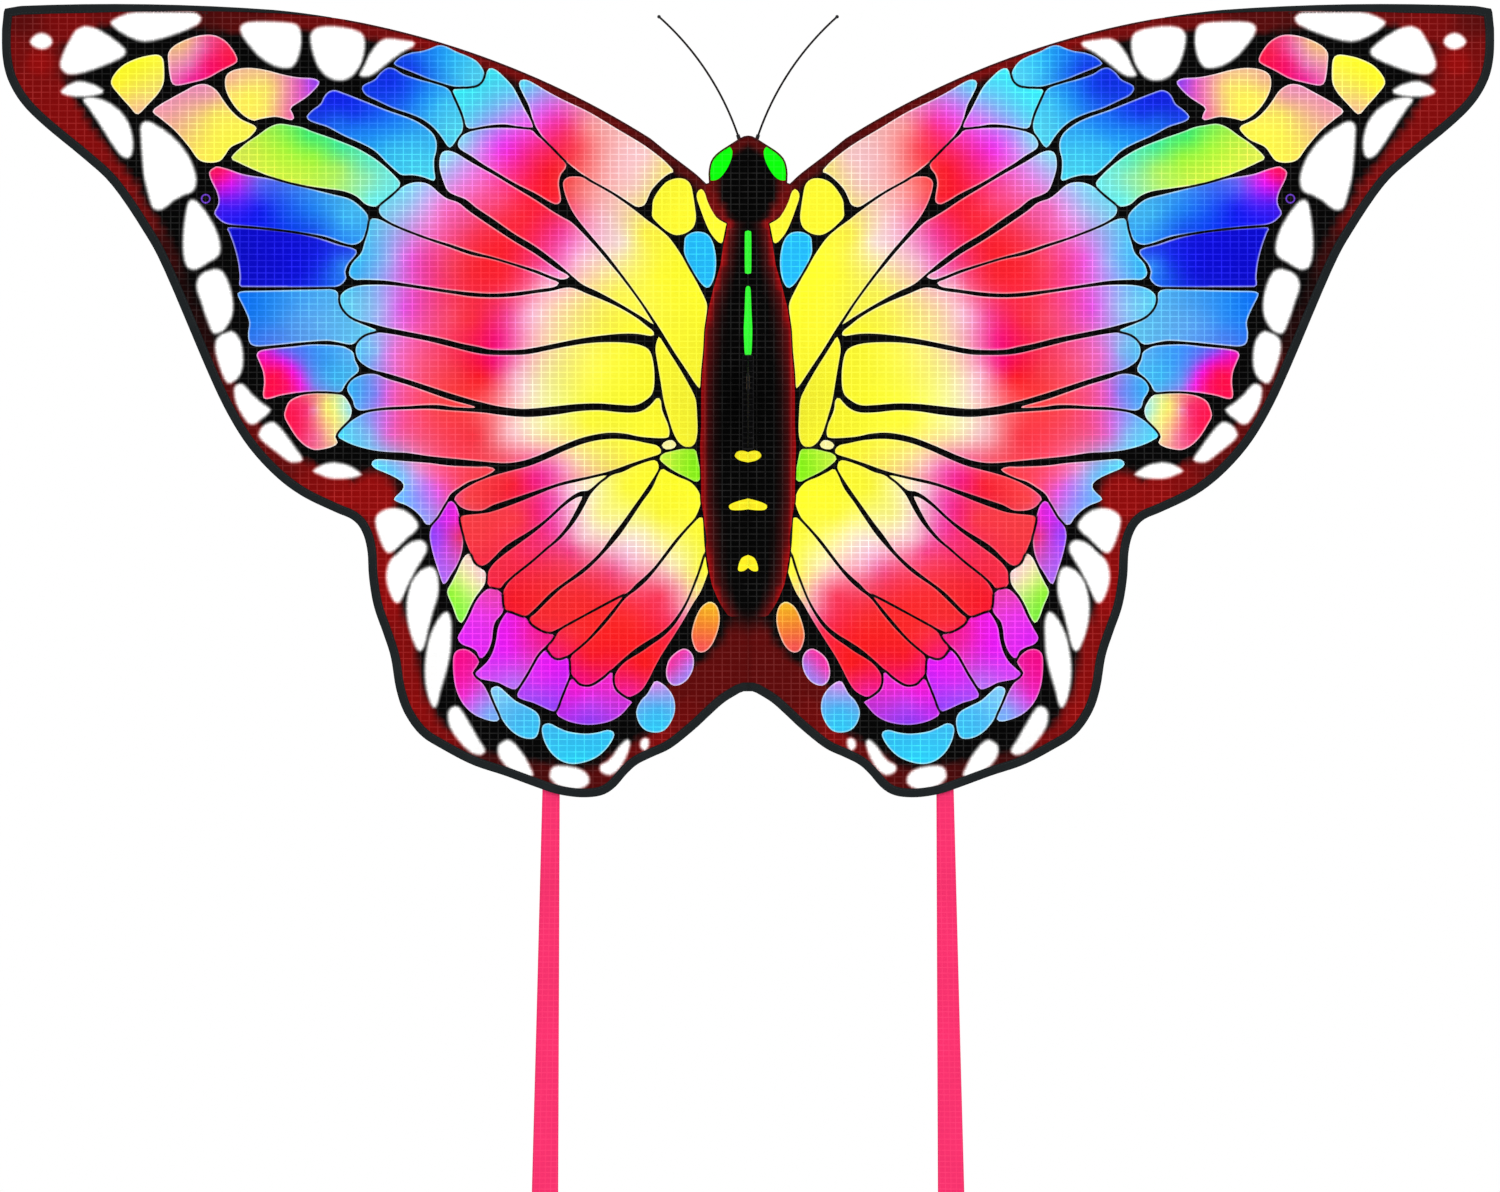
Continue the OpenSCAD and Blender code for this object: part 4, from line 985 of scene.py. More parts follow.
def ripstop(name, colour=None, grid=SAIL_GRID, lift=0.55, rough=0.55, specular=0.05):
    """Printed or dyed ripstop: a grid of thicker threads over a fine weave. Without a colour it
    takes the print's."""
    m, tree, b = principled(name, colour or (1, 1, 1), rough, Specular_IOR_Level=specular)
    n = Nodes(tree)
    rest = n.attribute("rest").outputs["Vector"]
    x, _, z = n.split(rest)
    across = n.stripes(x, grid[0], 0.82, 0.97)
    upward = n.stripes(z, grid[1], 0.77, 0.96)
    lines = n.math("MAXIMUM", across, upward)
    uneven = n.remap(n.noise(rest, 60.0, 4.0), 0.3, 0.7, 0.55, 1.25)
    lines = n.math("MULTIPLY", lines, uneven)
    if colour is None:
        base = n.attribute("Print").outputs["Color"]
    else:
        base = (*colour, 1)
    cloud = n.remap(n.noise(rest, 14.0, 5.0), 0.25, 0.75, 0.93, 1.05)
    toned = n.mix(1.0, base, cloud, "MULTIPLY")
    stronger = n.math("ADD", n.math("MULTIPLY", lines, lift), 1.0)
    toned = n.mix(1.0, toned, stronger, "MULTIPLY")
    lit = n.mix(1.0, toned, n.math("MULTIPLY", lines, 0.016), "ADD")
    clamped = n.mix(1.0, lit, (1, 1, 1), "DARKEN")
    tree.links.new(clamped, b.inputs["Base Color"])
    warp = n.stripes(x, WEAVE_PITCH, 0.2, 0.9)
    weft = n.stripes(z, WEAVE_PITCH, 0.2, 0.9)
    weave = n.math("MULTIPLY", n.math("ADD", warp, weft), 0.5)
    height = n.math("ADD", n.math("MULTIPLY", weave, 0.35), lines)
    crinkle = n.bump(n.noise(rest, 38.0, 5.0, 0.6), 0.35, 0.0016)
    tree.links.new(n.bump(height, 0.35, 0.00012, crinkle), b.inputs["Normal"])
    rough_map = n.remap(n.noise(rest, 30.0, 3.0), 0.3, 0.7, rough - 0.06, rough + 0.07)
    tree.links.new(rough_map, b.inputs["Roughness"])
    return m


def webbing(name, colour, pitch=0.0011):
    """Woven tape or thread: fine ribs, a herringbone of lighter threads and some fuzz."""
    m, tree, b = principled(name, colour, 0.78, Specular_IOR_Level=0.08)
    n = Nodes(tree)
    rest = n.attribute("rest").outputs["Vector"]
    x, y, _ = n.split(rest)
    rib = n.stripes(n.math("ADD", x, y), pitch, 0.15, 0.95)
    cross = n.stripes(n.math("SUBTRACT", y, x), pitch * 0.7, 0.3, 0.95)
    weave = n.math("MULTIPLY", n.math("ADD", rib, cross), 0.5)
    fuzz = n.noise(rest, 900.0, 4.0, 0.7)
    light = tuple(min(1.0, c * 2.2 + 0.003) for c in colour)
    shade = n.math("MULTIPLY", n.math("ADD", n.math("MULTIPLY", weave, 0.6), fuzz), 0.55)
    base = n.mix(shade, (*colour, 1), (*light, 1))
    worn = n.remap(n.noise(rest, 25.0, 4.0), 0.45, 0.8, 0.0, 0.25)
    base = n.mix(worn, base, (*(min(1.0, c * 1.8 + 0.02) for c in colour), 1))
    tree.links.new(base, b.inputs["Base Color"])
    tree.links.new(n.bump(weave, 0.5, 0.00018, n.bump(fuzz, 0.25, 0.0002)), b.inputs["Normal"])
    return m


def moulded(name, colour, rough=0.45, grain=1400.0, specular=0.4):
    """Moulded nylon or vinyl: a fine grain and patches a little paler."""
    m, tree, b = principled(name, colour, rough, Specular_IOR_Level=specular)
    n = Nodes(tree)
    place = n.object_place()
    g = n.noise(place, grain, 3.0)
    soft = n.noise(place, 90.0, 4.0)
    light = tuple(min(1.0, c * 1.9 + 0.006) for c in colour)
    tree.links.new(n.mix(n.remap(soft, 0.35, 0.75), (*colour, 1), (*light, 1)),
                   b.inputs["Base Color"])
    tree.links.new(n.remap(soft, 0.3, 0.7, rough - 0.08, rough + 0.1), b.inputs["Roughness"])
    tree.links.new(n.bump(g, 0.3, 0.00006), b.inputs["Normal"])
    return m


def rod_finish(name, colour, rough=0.3, coat=0.25, specular=0.5):
    """Pultruded fibreglass: long fibres under a satin gloss."""
    m, tree, b = principled(name, colour, rough, Coat_Weight=coat, Coat_Roughness=0.15,
                            Specular_IOR_Level=specular)
    n = Nodes(tree)
    place = n.object_place()
    fibre = n.noise(place, 700.0, 2.0)
    band = n.noise(place, 40.0, 3.0)
    light = tuple(min(1.0, c * 2.2 + 0.003) for c in colour)
    tree.links.new(n.mix(n.math("MULTIPLY", fibre, 0.6), (*colour, 1), (*light, 1)),
                   b.inputs["Base Color"])
    tree.links.new(n.remap(band, 0.3, 0.7, rough - 0.06, rough + 0.12), b.inputs["Roughness"])
    tree.links.new(n.bump(fibre, 0.2, 0.00004), b.inputs["Normal"])
    return m


def metal(name, colour, rough=0.28):
    """Plated metal with fine scratches and some tarnish."""
    m, tree, b = principled(name, colour, rough, Metallic=1.0)
    n = Nodes(tree)
    place = n.object_place()
    scratch = n.noise(place, 500.0, 5.0, 0.7)
    tarnish = n.remap(n.noise(place, 160.0, 4.0), 0.45, 0.75)
    dark = tuple(c * 0.55 for c in colour)
    tree.links.new(n.mix(n.math("MULTIPLY", tarnish, 0.5), (*colour, 1), (*dark, 1)),
                   b.inputs["Base Color"])
    tree.links.new(n.remap(scratch, 0.3, 0.7, rough - 0.1, rough + 0.16), b.inputs["Roughness"])
    tree.links.new(n.bump(scratch, 0.15, 0.00003), b.inputs["Normal"])
    return m


SAIL = ripstop("printed_ripstop")
RIBBON = ripstop("ribbon_ripstop", (0.92, 0.026, 0.150), FINE_GRID, 0.12, 0.45, 0.1)
SLEEVE = ripstop("sleeve_ripstop", (0.045, 0.002, 0.003), FINE_GRID, 0.6, 0.55, 0.1)
DARK_SLEEVE = ripstop("dark_sleeve_ripstop", (0.016, 0.014, 0.015), FINE_GRID, 0.6, 0.55, 0.1)
KEEL = ripstop("keel_ripstop", (0.0025, 0.0025, 0.003), FINE_GRID, 0.6, 0.6, 0.05)
BINDING = webbing("binding_tape", (0.0065, 0.009, 0.010))
WEBBING = webbing("webbing", (0.016, 0.016, 0.019), 0.0014)
THREAD = webbing("thread", (0.018, 0.021, 0.023), 0.0005)
ROD = rod_finish("fibreglass_rod", (0.012, 0.012, 0.014))
ANTENNA = rod_finish("antenna_rod", (0.0045, 0.0025, 0.0025), 0.45, 0.05, 0.2)
NYLON = moulded("moulded_nylon", (0.014, 0.014, 0.016))
VINYL = moulded("soft_vinyl", (0.010, 0.010, 0.011), 0.6, 900.0, 0.3)
STEEL = metal("steel", (0.55, 0.55, 0.57))
BRASS = metal("brass", (0.085, 0.060, 0.034), 0.4)
KEEL_TAPE = webbing("keel_tape", (0.0035, 0.004, 0.0045))
DARK_THREAD = webbing("dark_thread", (0.005, 0.005, 0.006), 0.0005)

# The sail ------------------------------------------------------------------------------------

SIDES = (("left", -1), ("right", 1))
# Half the drawn thickness of the cloth, and the colour of its cut edge
SAIL_T = 0.2
CUT_EDGE = np.array([0.01, 0.002, 0.002])


def boundary(tris):
    """Edges that only one triangle has, as directed pairs."""
    seen = {}
    for a, b, c in tris:
        for e in ((a, b), (b, c), (c, a)):
            seen[e] = True
    return [e for e in seen if (e[1], e[0]) not in seen]


def signed_area(v, t):
    """Twice the area of each triangle, negative where it turns clockwise."""
    a, b, c = v[t[:, 0]], v[t[:, 1]], v[t[:, 2]]
    return (b[:, 0] - a[:, 0]) * (c[:, 1] - a[:, 1]) - (b[:, 1] - a[:, 1]) * (c[:, 0] - a[:, 0])


def seam_blend(o):
    """Bakes the piece's place into its mesh."""
    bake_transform(o)


def sail(side, m, v, t, c):
    """A half of the sail. Seen from the front, a right wing's triangles turn anticlockwise."""
    n = len(v)
    depth = billow(v)
    if m < 0:
        t, c = t[:, ::-1], c[:, ::-1]
    front = [row(m * x, d - SAIL_T, z) for (x, z), d in zip(v, depth)]
    back = [row(m * x, d + SAIL_T, z) for (x, z), d in zip(v, depth)]
    faces = [tuple(q) for q in t] + [tuple(n + q[::-1]) for q in t]
    rim = [(b, a, n + a, n + b) for a, b in boundary(t)]
    colours = list(c.reshape(-1, 3)) + list(c[:, ::-1].reshape(-1, 3)) + [CUT_EDGE] * 4 * len(rim)
    o = new_object(f"{side}_sail_cloth", front + back, faces + rim, SAIL)
    keep_rest(o, [row(m * x, 0, z) for x, z in v] * 2)
    rgba = np.append(np.array(colours), np.ones((len(colours), 1)), 1).astype(np.float32)
    attribute = o.data.color_attributes.new("Print", "FLOAT_COLOR", "CORNER")
    attribute.data.foreach_set("color", rgba.reshape(-1))
    seam_blend(o)
    return o


points, triangles, corner_colours = half_sail()
corner_colours = corner_colours.reshape(-1, 3, 3)
flip = signed_area(points, triangles) < 0
triangles[flip] = triangles[flip][:, ::-1]
corner_colours[flip] = corner_colours[flip][:, ::-1]
sails = {side: sail(side, m, points, triangles, corner_colours) for side, m in SIDES}
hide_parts("left_sail", "centre_strip")
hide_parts("right_sail")

# Swept pieces ----------------------------------------------------------------------------------


def on_sail(m):
    """Takes a place on a wing, across, back and up, to the row frame."""
    return lambda x, w, z: row(m * x, w, z)


def on_keel(depth, w, z):
    """The keel stands at the seam: its first direction is forward, and its thickness is across."""
    return (w / 1000, Y0 - depth / 1000, Z0 + z / 1000)


def sweep(name, path, section, material, place):
    """Sweeps a section along a flat path. A section point is (across, back): across is to the
    right of the path's direction, and back is in +Y. section may be a function of a path point's
    number and its distance along the path."""
    path = np.asarray(path, float)
    nrm = normals(path)
    along = np.concatenate([[0], np.cumsum(np.hypot(*np.diff(path, axis=0).T))])
    verts, rest = [], []
    for i, (p, q) in enumerate(zip(path, nrm)):
        s = section(i, along[i]) if callable(section) else section
        for u, w in s:
            x, z = p + q * u
            verts.append(place(x, w, z))
            rest.append((u / 1000, w / 1000, along[i] / 1000))
    count = len(s)
    faces = []
    for i in range(len(path) - 1):
        for k in range(count):
            a, b = i * count + k, i * count + (k + 1) % count
            faces.append((a, b, b + count, a + count))
    faces.append(tuple(range(count)))
    faces.append(tuple((len(path) - 1) * count + k for k in range(count)))
    o = new_object(name, verts, faces, material)
    keep_rest(o, rest)
    return orient(o)


def orient(o):
    """Turns the faces of a closed mesh outwards."""
    bm = bmesh.new()
    bm.from_mesh(o.data)
    bmesh.ops.recalc_face_normals(bm, faces=bm.faces)
    bm.to_mesh(o.data)
    bm.free()
    return o


# A thread's half width and its height above the cloth
THREAD_W, THREAD_RISE = 0.32, 0.2


def stitches(name, path, offset, y, place, pitch=3.4, length=2.5, material=THREAD):
    """A row of stitches: short raised threads along a line that is offset from the path."""
    path = resample(np.asarray(path, float), 2.0)
    seam_line = path + normals(path) * offset
    along = np.concatenate([[0], np.cumsum(np.hypot(*np.diff(seam_line, axis=0).T))])
    count = int(along[-1] / pitch)
    verts, faces, rest = [], [], []
    for i in range(count):
        s = (i + 0.5) * pitch
        ends = [s - length / 2, s - length * 0.3, s + length * 0.3, s + length / 2]
        pts = [np.array([np.interp(e, along, seam_line[:, k]) for k in (0, 1)]) for e in ends]
        d = pts[2] - pts[1]
        d = d / max(np.linalg.norm(d), 1e-9)
        q = np.array([d[1], -d[0]])
        base = len(verts)
        for p, r in zip(pts, (0.35, 1, 1, 0.35)):
            for k in range(4):
                a = math.pi / 4 + k * math.pi / 2
                x, z = p + q * math.cos(a) * THREAD_W * r
                verts.append(place(x, y + math.sin(a) * THREAD_RISE * r, z))
                rest.append((s / 1000, k * 0.0002, 0))
        for j in range(3):
            for k in range(4):
                a, b = base + j * 4 + k, base + j * 4 + (k + 1) % 4
                faces.append((a, b, b + 4, a + 4))
        faces.append(tuple(base + k for k in (3, 2, 1, 0)))
        faces.append(tuple(base + 12 + k for k in (0, 1, 2, 3)))
    o = new_object(name, verts, faces, material)
    keep_rest(o, rest)
    return orient(o)


def binding_section(width):
    """Binding: a tape folded over the edge of the sail, crowned, with its cut edges turned in."""
    w = max(width, 0.8)
    t = 0.9 if w > 3 else 0.45 + 0.15 * w
    return [(0.15, 0), (0.25, -t * 0.62), (0.9, -t * 0.93), (w * 0.4, -t), (w * 0.8, -t * 0.9),
            (w * 0.97, -t * 0.78), (w, -t * 0.5), (w, -0.25), (w * 0.6, -0.22), (w * 0.6, 0.22),
            (w, 0.25), (w, t * 0.5), (w * 0.97, t * 0.78), (w * 0.8, t * 0.9), (w * 0.4, t),
            (0.9, t * 0.93), (0.25, t * 0.62)]


def finish_piece(o, body, slot, *replaced):
    """Puts a piece on its body, and hides the CAD nodes it stands for."""
    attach(o, body)
    if replaced:
        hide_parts(*replaced)


for side, m in SIDES:
    wing, at = f"{side}_wing", on_sail(m)
    o = sweep(f"{side}_binding_tape", bound_edge, lambda i, s: binding_section(bound_width[i]),
              BINDING, at)
    seam_blend(o)
    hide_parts(f"{side}_binding")
    part = np.array([p for p, w in zip(bound_edge, bound_width) if w > 5 and p[0] > 13])
    for face, y in (("front", -0.84), ("back", 0.84)):
        st = stitches(f"{side}_binding_stitches_{face}", part, 6.9, y, at)
        finish_piece(st, wing, "binding")
    hem = [(0.9 + 0.9 * math.cos(a), 0.62 * math.sin(a)) for a in np.arange(0, 6.2, 0.628)]
    o = sweep(f"{side}_edge_hem", resample(np.array([HEAD[0]] + head_edge + free_edge), 4), hem,
              SLEEVE, at)
    seam_blend(o)

# Sleeves and pockets: strips of cloth that pass over a rod, with a flange sewn down on each side


# Thickness of a sleeve's flange, and how far its stitches stand off the cloth under it
FLANGE_T, STITCH_OFF = 0.55, 0.6


def omega(tube, bore, half, back, k=1.0):
    """Section of a sleeve: its outer and inner radius, half its width, and the cloth's back under
    it. k below 1 lets it down towards the sail."""
    centre = back + (ROD_Y - back) * k
    outer = [(tube * k * math.cos(a), centre + tube * k * math.sin(a))
             for a in np.radians(np.arange(-38, 219, 16))]
    inner = [(bore * k * math.cos(a), centre + bore * k * math.sin(a))
             for a in np.radians(np.arange(212, -33, -20))]
    foot = tube * k + 0.7
    top = back + FLANGE_T
    return [(half, back), (half, top), (foot, top)] + outer \
        + [(-foot, top), (-half, top), (-half, back), (-bore * k - 0.25, back)] \
        + inner + [(bore * k + 0.25, back)]


def sleeve(name, path, sizes, material, place, body, node):
    """A sleeve along a path, with a row of stitches on each flange."""
    tube, bore, half, back = sizes
    o = sweep(name, path, omega(tube, bore, half, back), material, place)
    finish_piece(o, body, "sleeve", node)
    for tag, side in (("a", 1), ("b", -1)):
        st = stitches(f"{name}_stitches_{tag}", path, side * (half - 1.3), back + STITCH_OFF,
                      place)
        finish_piece(st, body, "sleeve")


def line(a, b, step=3.0):
    """A straight line with points about a step apart."""
    return resample(np.array([a, b], float), step)


def pocket(name, a, b, sizes, depth, place, body, node):
    """A webbing pocket from a towards b, whose far end is let down and sewn shut."""
    tube, bore, half, back = sizes
    a, b = np.array(a, float), np.array(b, float)
    d = (b - a) / np.linalg.norm(b - a)
    path = line(a - 2 * d, a + (depth + 6) * d, 1.0)

    def section(i, s):
        k = 1 - 0.78 * float(smoothstep(depth + 0.5, depth + 7, s))
        return omega(tube, bore, half, back, k)

    o = sweep(name, path, section, WEBBING, place)
    finish_piece(o, body, "webbing", node)
    nrm = np.array([d[1], -d[0]])
    inset = 1.1
    side, end = nrm * (half - inset), path[-1] - d * inset
    box = resample(np.array([path[0] + side, end + side, end - side, path[0] - side]), 1.0)
    st = stitches(f"{name}_stitches", box, 0, back + STITCH_OFF, place, 2.4, 1.7)
    finish_piece(st, body, "webbing")


HUB_Z = 262
CENTRE = on_sail(1)
SPINE_SLEEVE = (2.9, 2.25, 6.5, CLOTH_BACK)
for part, low, high in (("upper", HUB_Z + 19, 591), ("lower", 131, HUB_Z - 19)):
    sleeve(f"spine_sleeve_cloth_{part}", line((0, low), (0, high)), SPINE_SLEEVE, DARK_SLEEVE,
           CENTRE, "spine", f"spine_sleeve_{part}")
o = sweep("nose_strap_webbing", line((0, 593), (0, 599), 1.0), omega(3.2, 2.78, 6.5, CLOTH_BACK),
          WEBBING, CENTRE)
finish_piece(o, "spine", "webbing", "nose_strap")
pocket("tail_pocket_webbing", (0, 128), (0, 100), (3.1, 2.5, 6.5, CLOTH_BACK), 12.5, CENTRE,
       "spine", "tail_pocket")


def arc_line(centre, r, first, last):
    """An arc with points about 3 mm apart."""
    return resample(np.array(edge_arc(centre, r, first, last, 30)), 3.0)


def degrees_along(length, r):
    """Angle that a length takes up on an arc."""
    return math.degrees(length / r)


SPAR_SLEEVE_INNER = arc_line(INNER_CENTRE, INNER_R - SPAR_INSET,
                             INNER_END + degrees_along(16, INNER_R), INNER_START - 1)
SPAR_SLEEVE_OUTER = arc_line(OUTER_CENTRE, OUTER_R - SPAR_INSET,
                             OUTER_END + degrees_along(36, OUTER_R),
                             OUTER_START - degrees_along(16, OUTER_R))
PIN_X, SOCKET_OFF, EYE_RISE = 10, 5.8, 6.4
upper_from = np.array([PIN_X + SOCKET_OFF, HUB_Z + EYE_RISE])
upper_to = INNER_CENTRE + (INNER_R - SPAR_INSET) * up_from_edge(INNER_END)
lower_from = np.array([PIN_X + SOCKET_OFF, HUB_Z - EYE_RISE])
lower_to = np.array([150.0, 34.0])
upper_way = upper_to - upper_from
lower_way = (lower_to - lower_from) / np.linalg.norm(lower_to - lower_from)
tip_angle = OUTER_END + degrees_along(16, OUTER_R)
tip_way = np.array([math.cos(math.radians(tip_angle)), math.sin(math.radians(tip_angle))])
tip_start = OUTER_CENTRE + (OUTER_R - SPAR_INSET) * up_from_edge(tip_angle) - 10 * tip_way
for side, m in SIDES:
    wing, at = f"{side}_wing", on_sail(m)
    sleeve(f"{side}_spar_sleeve_cloth_inner", SPAR_SLEEVE_INNER, (2.7, 1.78, 6, CLOTH_BACK),
           SLEEVE, at, wing, f"{side}_spar_sleeve_inner")
    sleeve(f"{side}_spar_sleeve_cloth_outer", SPAR_SLEEVE_OUTER, (2.65, 1.78, 6, BINDING_BACK),
           SLEEVE, at, wing, f"{side}_spar_sleeve_outer")
    pocket(f"{side}_tip_pocket_webbing", tip_start, tip_start + tip_way,
           (2.65, 2.2, 6, BINDING_BACK), 12, at, wing, f"{side}_tip_pocket")
    lobe_start = lower_to - 10 * lower_way
    pocket(f"{side}_lobe_pocket_webbing", lobe_start, lower_to, (3.1, 2.2, 9, CLOTH_BACK), 12,
           at, wing, f"{side}_lobe_pocket")
    unit = upper_way / np.linalg.norm(upper_way)
    for k, share in enumerate((0.36, 0.68)):
        a = upper_from + share * upper_way
        path = line(a, a + 12 * unit, 1.5)
        o = sweep(f"{side}_keeper_webbing_{k + 1}", path, omega(2.9, 2.15, 9, CLOTH_BACK), WEBBING,
                  at)
        finish_piece(o, wing, "webbing", *([f"{side}_strut_keepers"] if k == 0 else []))
        across = np.array([unit[1], -unit[0]])
        for tag, way in (("a", 1), ("b", -1)):
            mid = a + way * across * 6.4
            box = [mid - across * 1.9, mid + across * 1.9, mid + across * 1.9 + unit * 10,
                   mid - across * 1.9 + unit * 10, mid - across * 1.9]
            st = stitches(f"{side}_keeper_{k + 1}_stitches_{tag}",
                          resample(np.array(box) + unit, 0.8), 0, CLOTH_BACK + STITCH_OFF, at,
                          2.0, 1.4)
            finish_piece(st, wing, "webbing")

# Flat pieces: the keel with its tape and patches, and the patches behind the tails


def plate(name, outline, holes, step, thickness, y, material, place):
    """A flat piece of cloth with holes, on a grid of points."""
    low, high = outline.min(0), outline.max(0)
    grid = np.array([(a, b) for a in np.arange(low[0], high[0], step)
                     for b in np.arange(low[1], high[1], step)])
    good = inside(grid, outline) & (distance(grid, outline) > step * 0.4)
    for h in holes:
        good &= ~inside(grid, h) & (distance(grid, h) > step * 0.4)
    v, t = triangulate([(loop, True) for loop in [outline] + holes], [tuple(q) for q in grid[good]])
    middle = v[t].mean(1)
    good = inside(middle, outline)
    for h in holes:
        good &= ~inside(middle, h)
    t = t[good]
    turned = signed_area(v, t) < 0
    t[turned] = t[turned][:, ::-1]
    n = len(v)
    verts = [place(a, w, b) for w in (y - thickness / 2, y + thickness / 2) for a, b in v]
    faces = [tuple(q) for q in t] + [tuple(n + q[::-1]) for q in t]
    faces += [(b, a, n + a, n + b) for a, b in boundary(t)]
    o = new_object(name, verts, faces, material)
    keep_rest(o, [(a / 1000, 0, b / 1000) for a, b in v] * 2)
    return orient(o)


def disc(centre, r, count=28):
    """Points of a circle."""
    return np.array([(centre[0] + r * math.cos(k * 2 * math.pi / count),
                      centre[1] + r * math.sin(k * 2 * math.pi / count)) for k in range(count)])


KEEL_DEPTH, TOW_Z, KEEL_TOP, KEEL_BOTTOM = 80, 388, 412, 328
TOW = (KEEL_DEPTH, TOW_Z)
nose = KEEL_DEPTH + 13
free = [(0.5, KEEL_TOP), (nose - 8, TOW_Z + 8), (nose, TOW_Z), (nose - 6, TOW_Z - 9),
        (0.5, KEEL_BOTTOM)]
keel_loop = resample(np.array([free[0], (nose - 9, TOW_Z + 7), (nose - 1, TOW_Z),
                               (nose - 7, TOW_Z - 8), free[-1]], float), 4, True)
o = plate("keel_cloth", keel_loop, [disc(TOW, 4.4)], 4.5, 0.7, 0, KEEL, on_keel)
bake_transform(o)
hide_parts("keel")
tape = [(-0.35, 0), (-0.2, -0.55), (0.6, -0.75), (4.6, -0.68), (5.4, -0.4), (5.4, 0.4),
        (4.6, 0.68), (0.6, 0.75), (-0.2, 0.55)]
edge_path = resample(np.array([(2.6, KEEL_TOP - 0.4)] + free[1:4] + [(2.6, KEEL_BOTTOM + 1.2)],
                              float), 2.0)
o = sweep("keel_tape", edge_path, tape, KEEL_TAPE, on_keel)
finish_piece(o, "keel", "binding", "keel_binding")
for tag, w in (("a", 0.74), ("b", -0.74)):
    finish_piece(stitches(f"keel_tape_stitches_{tag}", edge_path, 4.0, w, on_keel, 2.8, 2.0,
                          material=DARK_THREAD), "keel", "binding")
for k, w in ((1, 0.7), (2, -0.7)):
    o = plate(f"tow_patch_{k}", disc(TOW, 8.8, 40), [disc(TOW, 4.4)], 2.2, 0.5, w, WEBBING, on_keel)
    finish_piece(o, "keel", "webbing", *(["tow_patches"] if k == 1 else []))
    ring = np.append(disc(TOW, 8.0, 40), disc(TOW, 8.0, 40)[:1], 0)
    finish_piece(stitches(f"tow_patch_stitches_{k}", ring, 0, w * 1.4, on_keel, 2.0, 1.4), "keel",
                 "webbing")
seam = np.array([(-5.5, KEEL_BOTTOM - 1.2), (5.5, KEEL_BOTTOM - 1.2), (5.5, KEEL_TOP + 4),
                 (-5.5, KEEL_TOP + 4)], float)
o = plate("keel_seam_tape", resample(seam, 3, True), [], 3, 0.35, -0.42, KEEL, CENTRE)
finish_piece(o, "spine", "keel")
for tag, u in (("a", 4.2), ("b", -4.2)):
    finish_piece(stitches(f"keel_seam_stitches_{tag}", line((0, KEEL_BOTTOM), (0, KEEL_TOP + 3)),
                          u, -0.62, CENTRE, material=DARK_THREAD), "spine", "keel")
STUD = (185, 14)
for side, m in SIDES:
    at = on_sail(m)
    square = np.array([(-9, -5), (9, -5), (9, 13), (-9, 13)], float) + STUD
    o = plate(f"{side}_tail_patch_webbing", resample(square, 2.5, True), [disc(STUD, 2.1)], 2.5,
              0.55, BINDING_BACK + 0.32, WEBBING, at)
    finish_piece(o, f"{side}_wing", "webbing", f"{side}_tail_patch")
    ring = np.array([(-7.6, -3.6), (7.6, -3.6), (7.6, 11.6), (-7.6, 11.6), (-7.6, -3.6)],
                    float) + STUD
    finish_piece(stitches(f"{side}_tail_patch_stitches", resample(ring, 1.0), 0,
                          BINDING_BACK + 0.62, at, 2.4, 1.7), f"{side}_wing", "webbing")

# Tail ribbons
TAIL_LEN, TAIL_TOP_W, TAIL_END_W, LEAN = 800, 16, 34, 12
for side, m in SIDES:
    verts, faces, rest = [], [], []
    rows, cols = 160, 8
    top, bottom = STUD[1] + 8, STUD[1] - TAIL_LEN
    for layer in (-1, 1):
        for i in range(rows + 1):
            s = i / rows
            z = top + (bottom - top) * s
            centre = STUD[0] + LEAN * s
            half = (TAIL_TOP_W + (TAIL_END_W - TAIL_TOP_W) * s) / 2
            swing = smoothstep(0.06, 0.5, np.array(s)).item()
            for j in range(cols + 1):
                u = j / cols * 2 - 1
                y = 2.2 + swing * (3.2 * math.sin(s * 9.0) + 1.6 * u * math.sin(s * 7.0 + 1.2)) \
                    + 0.35 * swing * math.sin(s * 40 + u * 2)
                verts.append(row(m * (centre + half * u), y + layer * 0.18, z))
                rest.append((half * u / 1000, 0, (top - z) / 1000))
    n = (rows + 1) * (cols + 1)
    for i in range(rows):
        for j in range(cols):
            a = i * (cols + 1) + j
            q = (a, a + 1, a + cols + 2, a + cols + 1)
            faces.append(q)
            faces.append(tuple(n + k for k in q[::-1]))
    loop = list(range(cols + 1)) + [(i + 1) * (cols + 1) - 1 for i in range(1, rows + 1)] \
        + [rows * (cols + 1) + j for j in range(cols - 1, -1, -1)] \
        + [i * (cols + 1) for i in range(rows - 1, 0, -1)]
    for a, b in zip(loop, loop[1:] + loop[:1]):
        faces.append((b, a, n + a, n + b))
    o = new_object(f"{side}_ribbon_cloth", verts, faces, RIBBON)
    keep_rest(o, rest)
    orient(o)
    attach(o, f"{side}_tail")
    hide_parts(f"{side}_tail_ribbon")

# CAD nodes that stay, with their finishes -------------------------------------------------------

FINISH = {"spine_rod": ROD, "nose_fitting": NYLON, "hub": NYLON, "hinge_pins": STEEL,
          "spine_end_cap": VINYL, "tow_eyelet": BRASS,
          "spar_inner": ROD, "spar_outer": ROD, "spar_caps": VINYL, "connector": NYLON,
          "upper_strut": ROD, "upper_eye": NYLON, "lower_strut": ROD, "lower_eye": NYLON,
          "lower_cap": VINYL, "tail_stud": NYLON, "antenna": ANTENNA, "antenna_root": VINYL,
          "antenna_tip": VINYL}
for node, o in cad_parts.items():
    key = node.split("_", 1)[1] if node.startswith(("left_", "right_")) else node
    if key in FINISH:
        o.data.materials.clear()
        o.data.materials.append(FINISH[key])

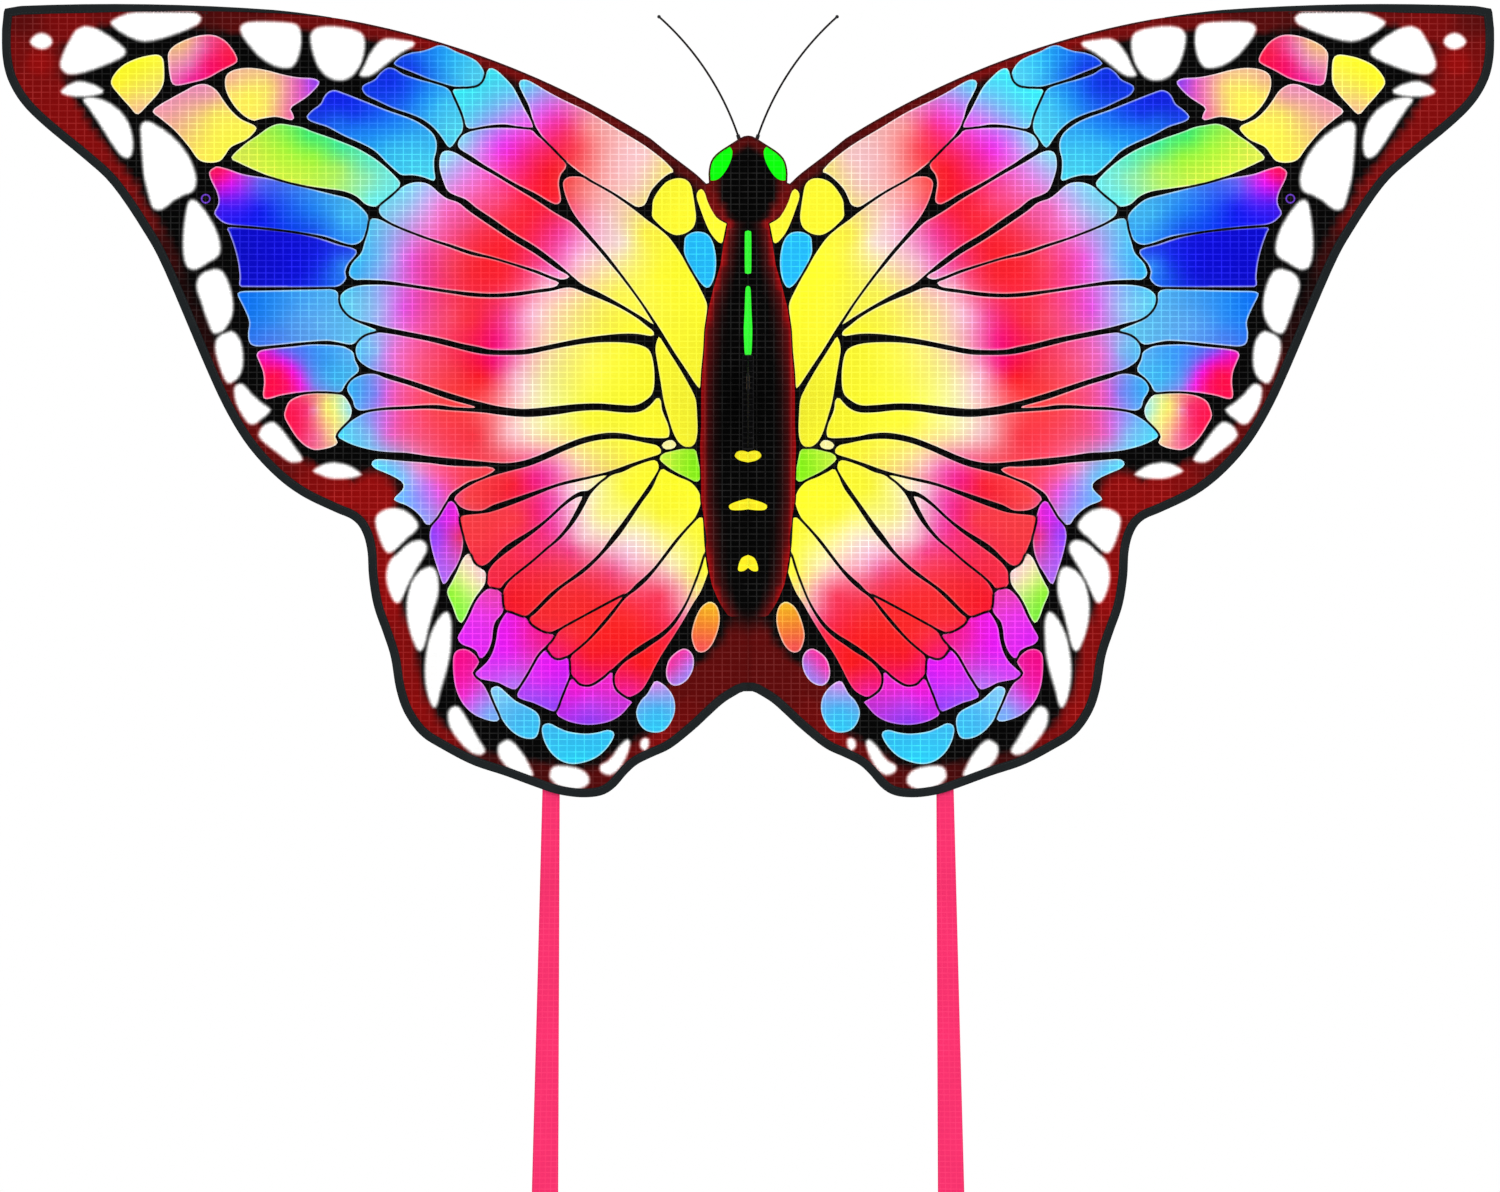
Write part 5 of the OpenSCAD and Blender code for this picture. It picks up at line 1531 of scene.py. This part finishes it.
# Stage -------------------------------------------------------------------------------------------

scene = bpy.context.scene
world = bpy.data.worlds.new("studio")
scene.world = world
world.use_nodes = True
# Light comes from all round, and gloss sees a darker studio with a bright ceiling.
n = Nodes(world.node_tree)
path = world.node_tree.nodes.new("ShaderNodeLightPath")
up = n.split(world.node_tree.nodes.new("ShaderNodeTexCoord").outputs["Generated"])[2]
studio = n.remap(up, 0.15, 0.9, 0.16, 1.0)
strength = n.math("ADD", n.math("MULTIPLY", path.outputs["Is Glossy Ray"],
                                n.math("SUBTRACT", studio, 1.0)), 1.0)
world.node_tree.links.new(strength, world.node_tree.nodes["Background"].inputs[1])
world.node_tree.nodes["Background"].inputs[0].default_value = (1, 1, 1, 1)
scene.view_settings.view_transform = "Standard"
scene.view_settings.look = "None"

bpy.ops.mesh.primitive_circle_add(vertices=128, radius=4.6, fill_type="NGON",
                                  location=(0, 0.1, Z0 - 0.84))
floor = bpy.context.object
floor.name = "floor"
pale, tree, b = principled("pale_floor", (0.86, 0.86, 0.85), 0.7)
n = Nodes(tree)
tree.links.new(n.mix(n.noise(n.object_place(), 3.0), (0.85, 0.85, 0.84), (0.89, 0.89, 0.88)),
               b.inputs["Base Color"])
floor.data.materials.append(pale)


def area_light(name, place, aim, size, power):
    """A square light at a place, turned to its aim."""
    data = bpy.data.lights.new(name, "AREA")
    data.size = size
    data.energy = power
    o = bpy.data.objects.new(name, data)
    o.location = place
    o.rotation_euler = (Vector(aim) - Vector(place)).to_track_quat("-Z", "Y").to_euler()
    scene.collection.objects.link(o)


area_light("key", (2.2, -3.0, 2.4), (0, 0.08, -0.1), 2.0, 28)

# The camera looks along +Y from the front, at this distance and with this width in view
DISTANCE = 8.0
VIEW_WIDTH = 1.41
VIEW_SHIFT, VIEW_UP = 0.0013, 0.1894
SENSOR = 36
camera_data = bpy.data.cameras.new("camera")
camera_data.sensor_width = SENSOR
camera_data.lens = SENSOR * DISTANCE / VIEW_WIDTH
camera_data.shift_x = VIEW_SHIFT
camera_data.clip_end = 100
camera = bpy.data.objects.new("camera", camera_data)
camera.location = (0, Y0 - DISTANCE, Z0 + VIEW_UP)
camera.rotation_euler = (math.pi / 2, 0, 0)
scene.collection.objects.link(camera)
scene.camera = camera
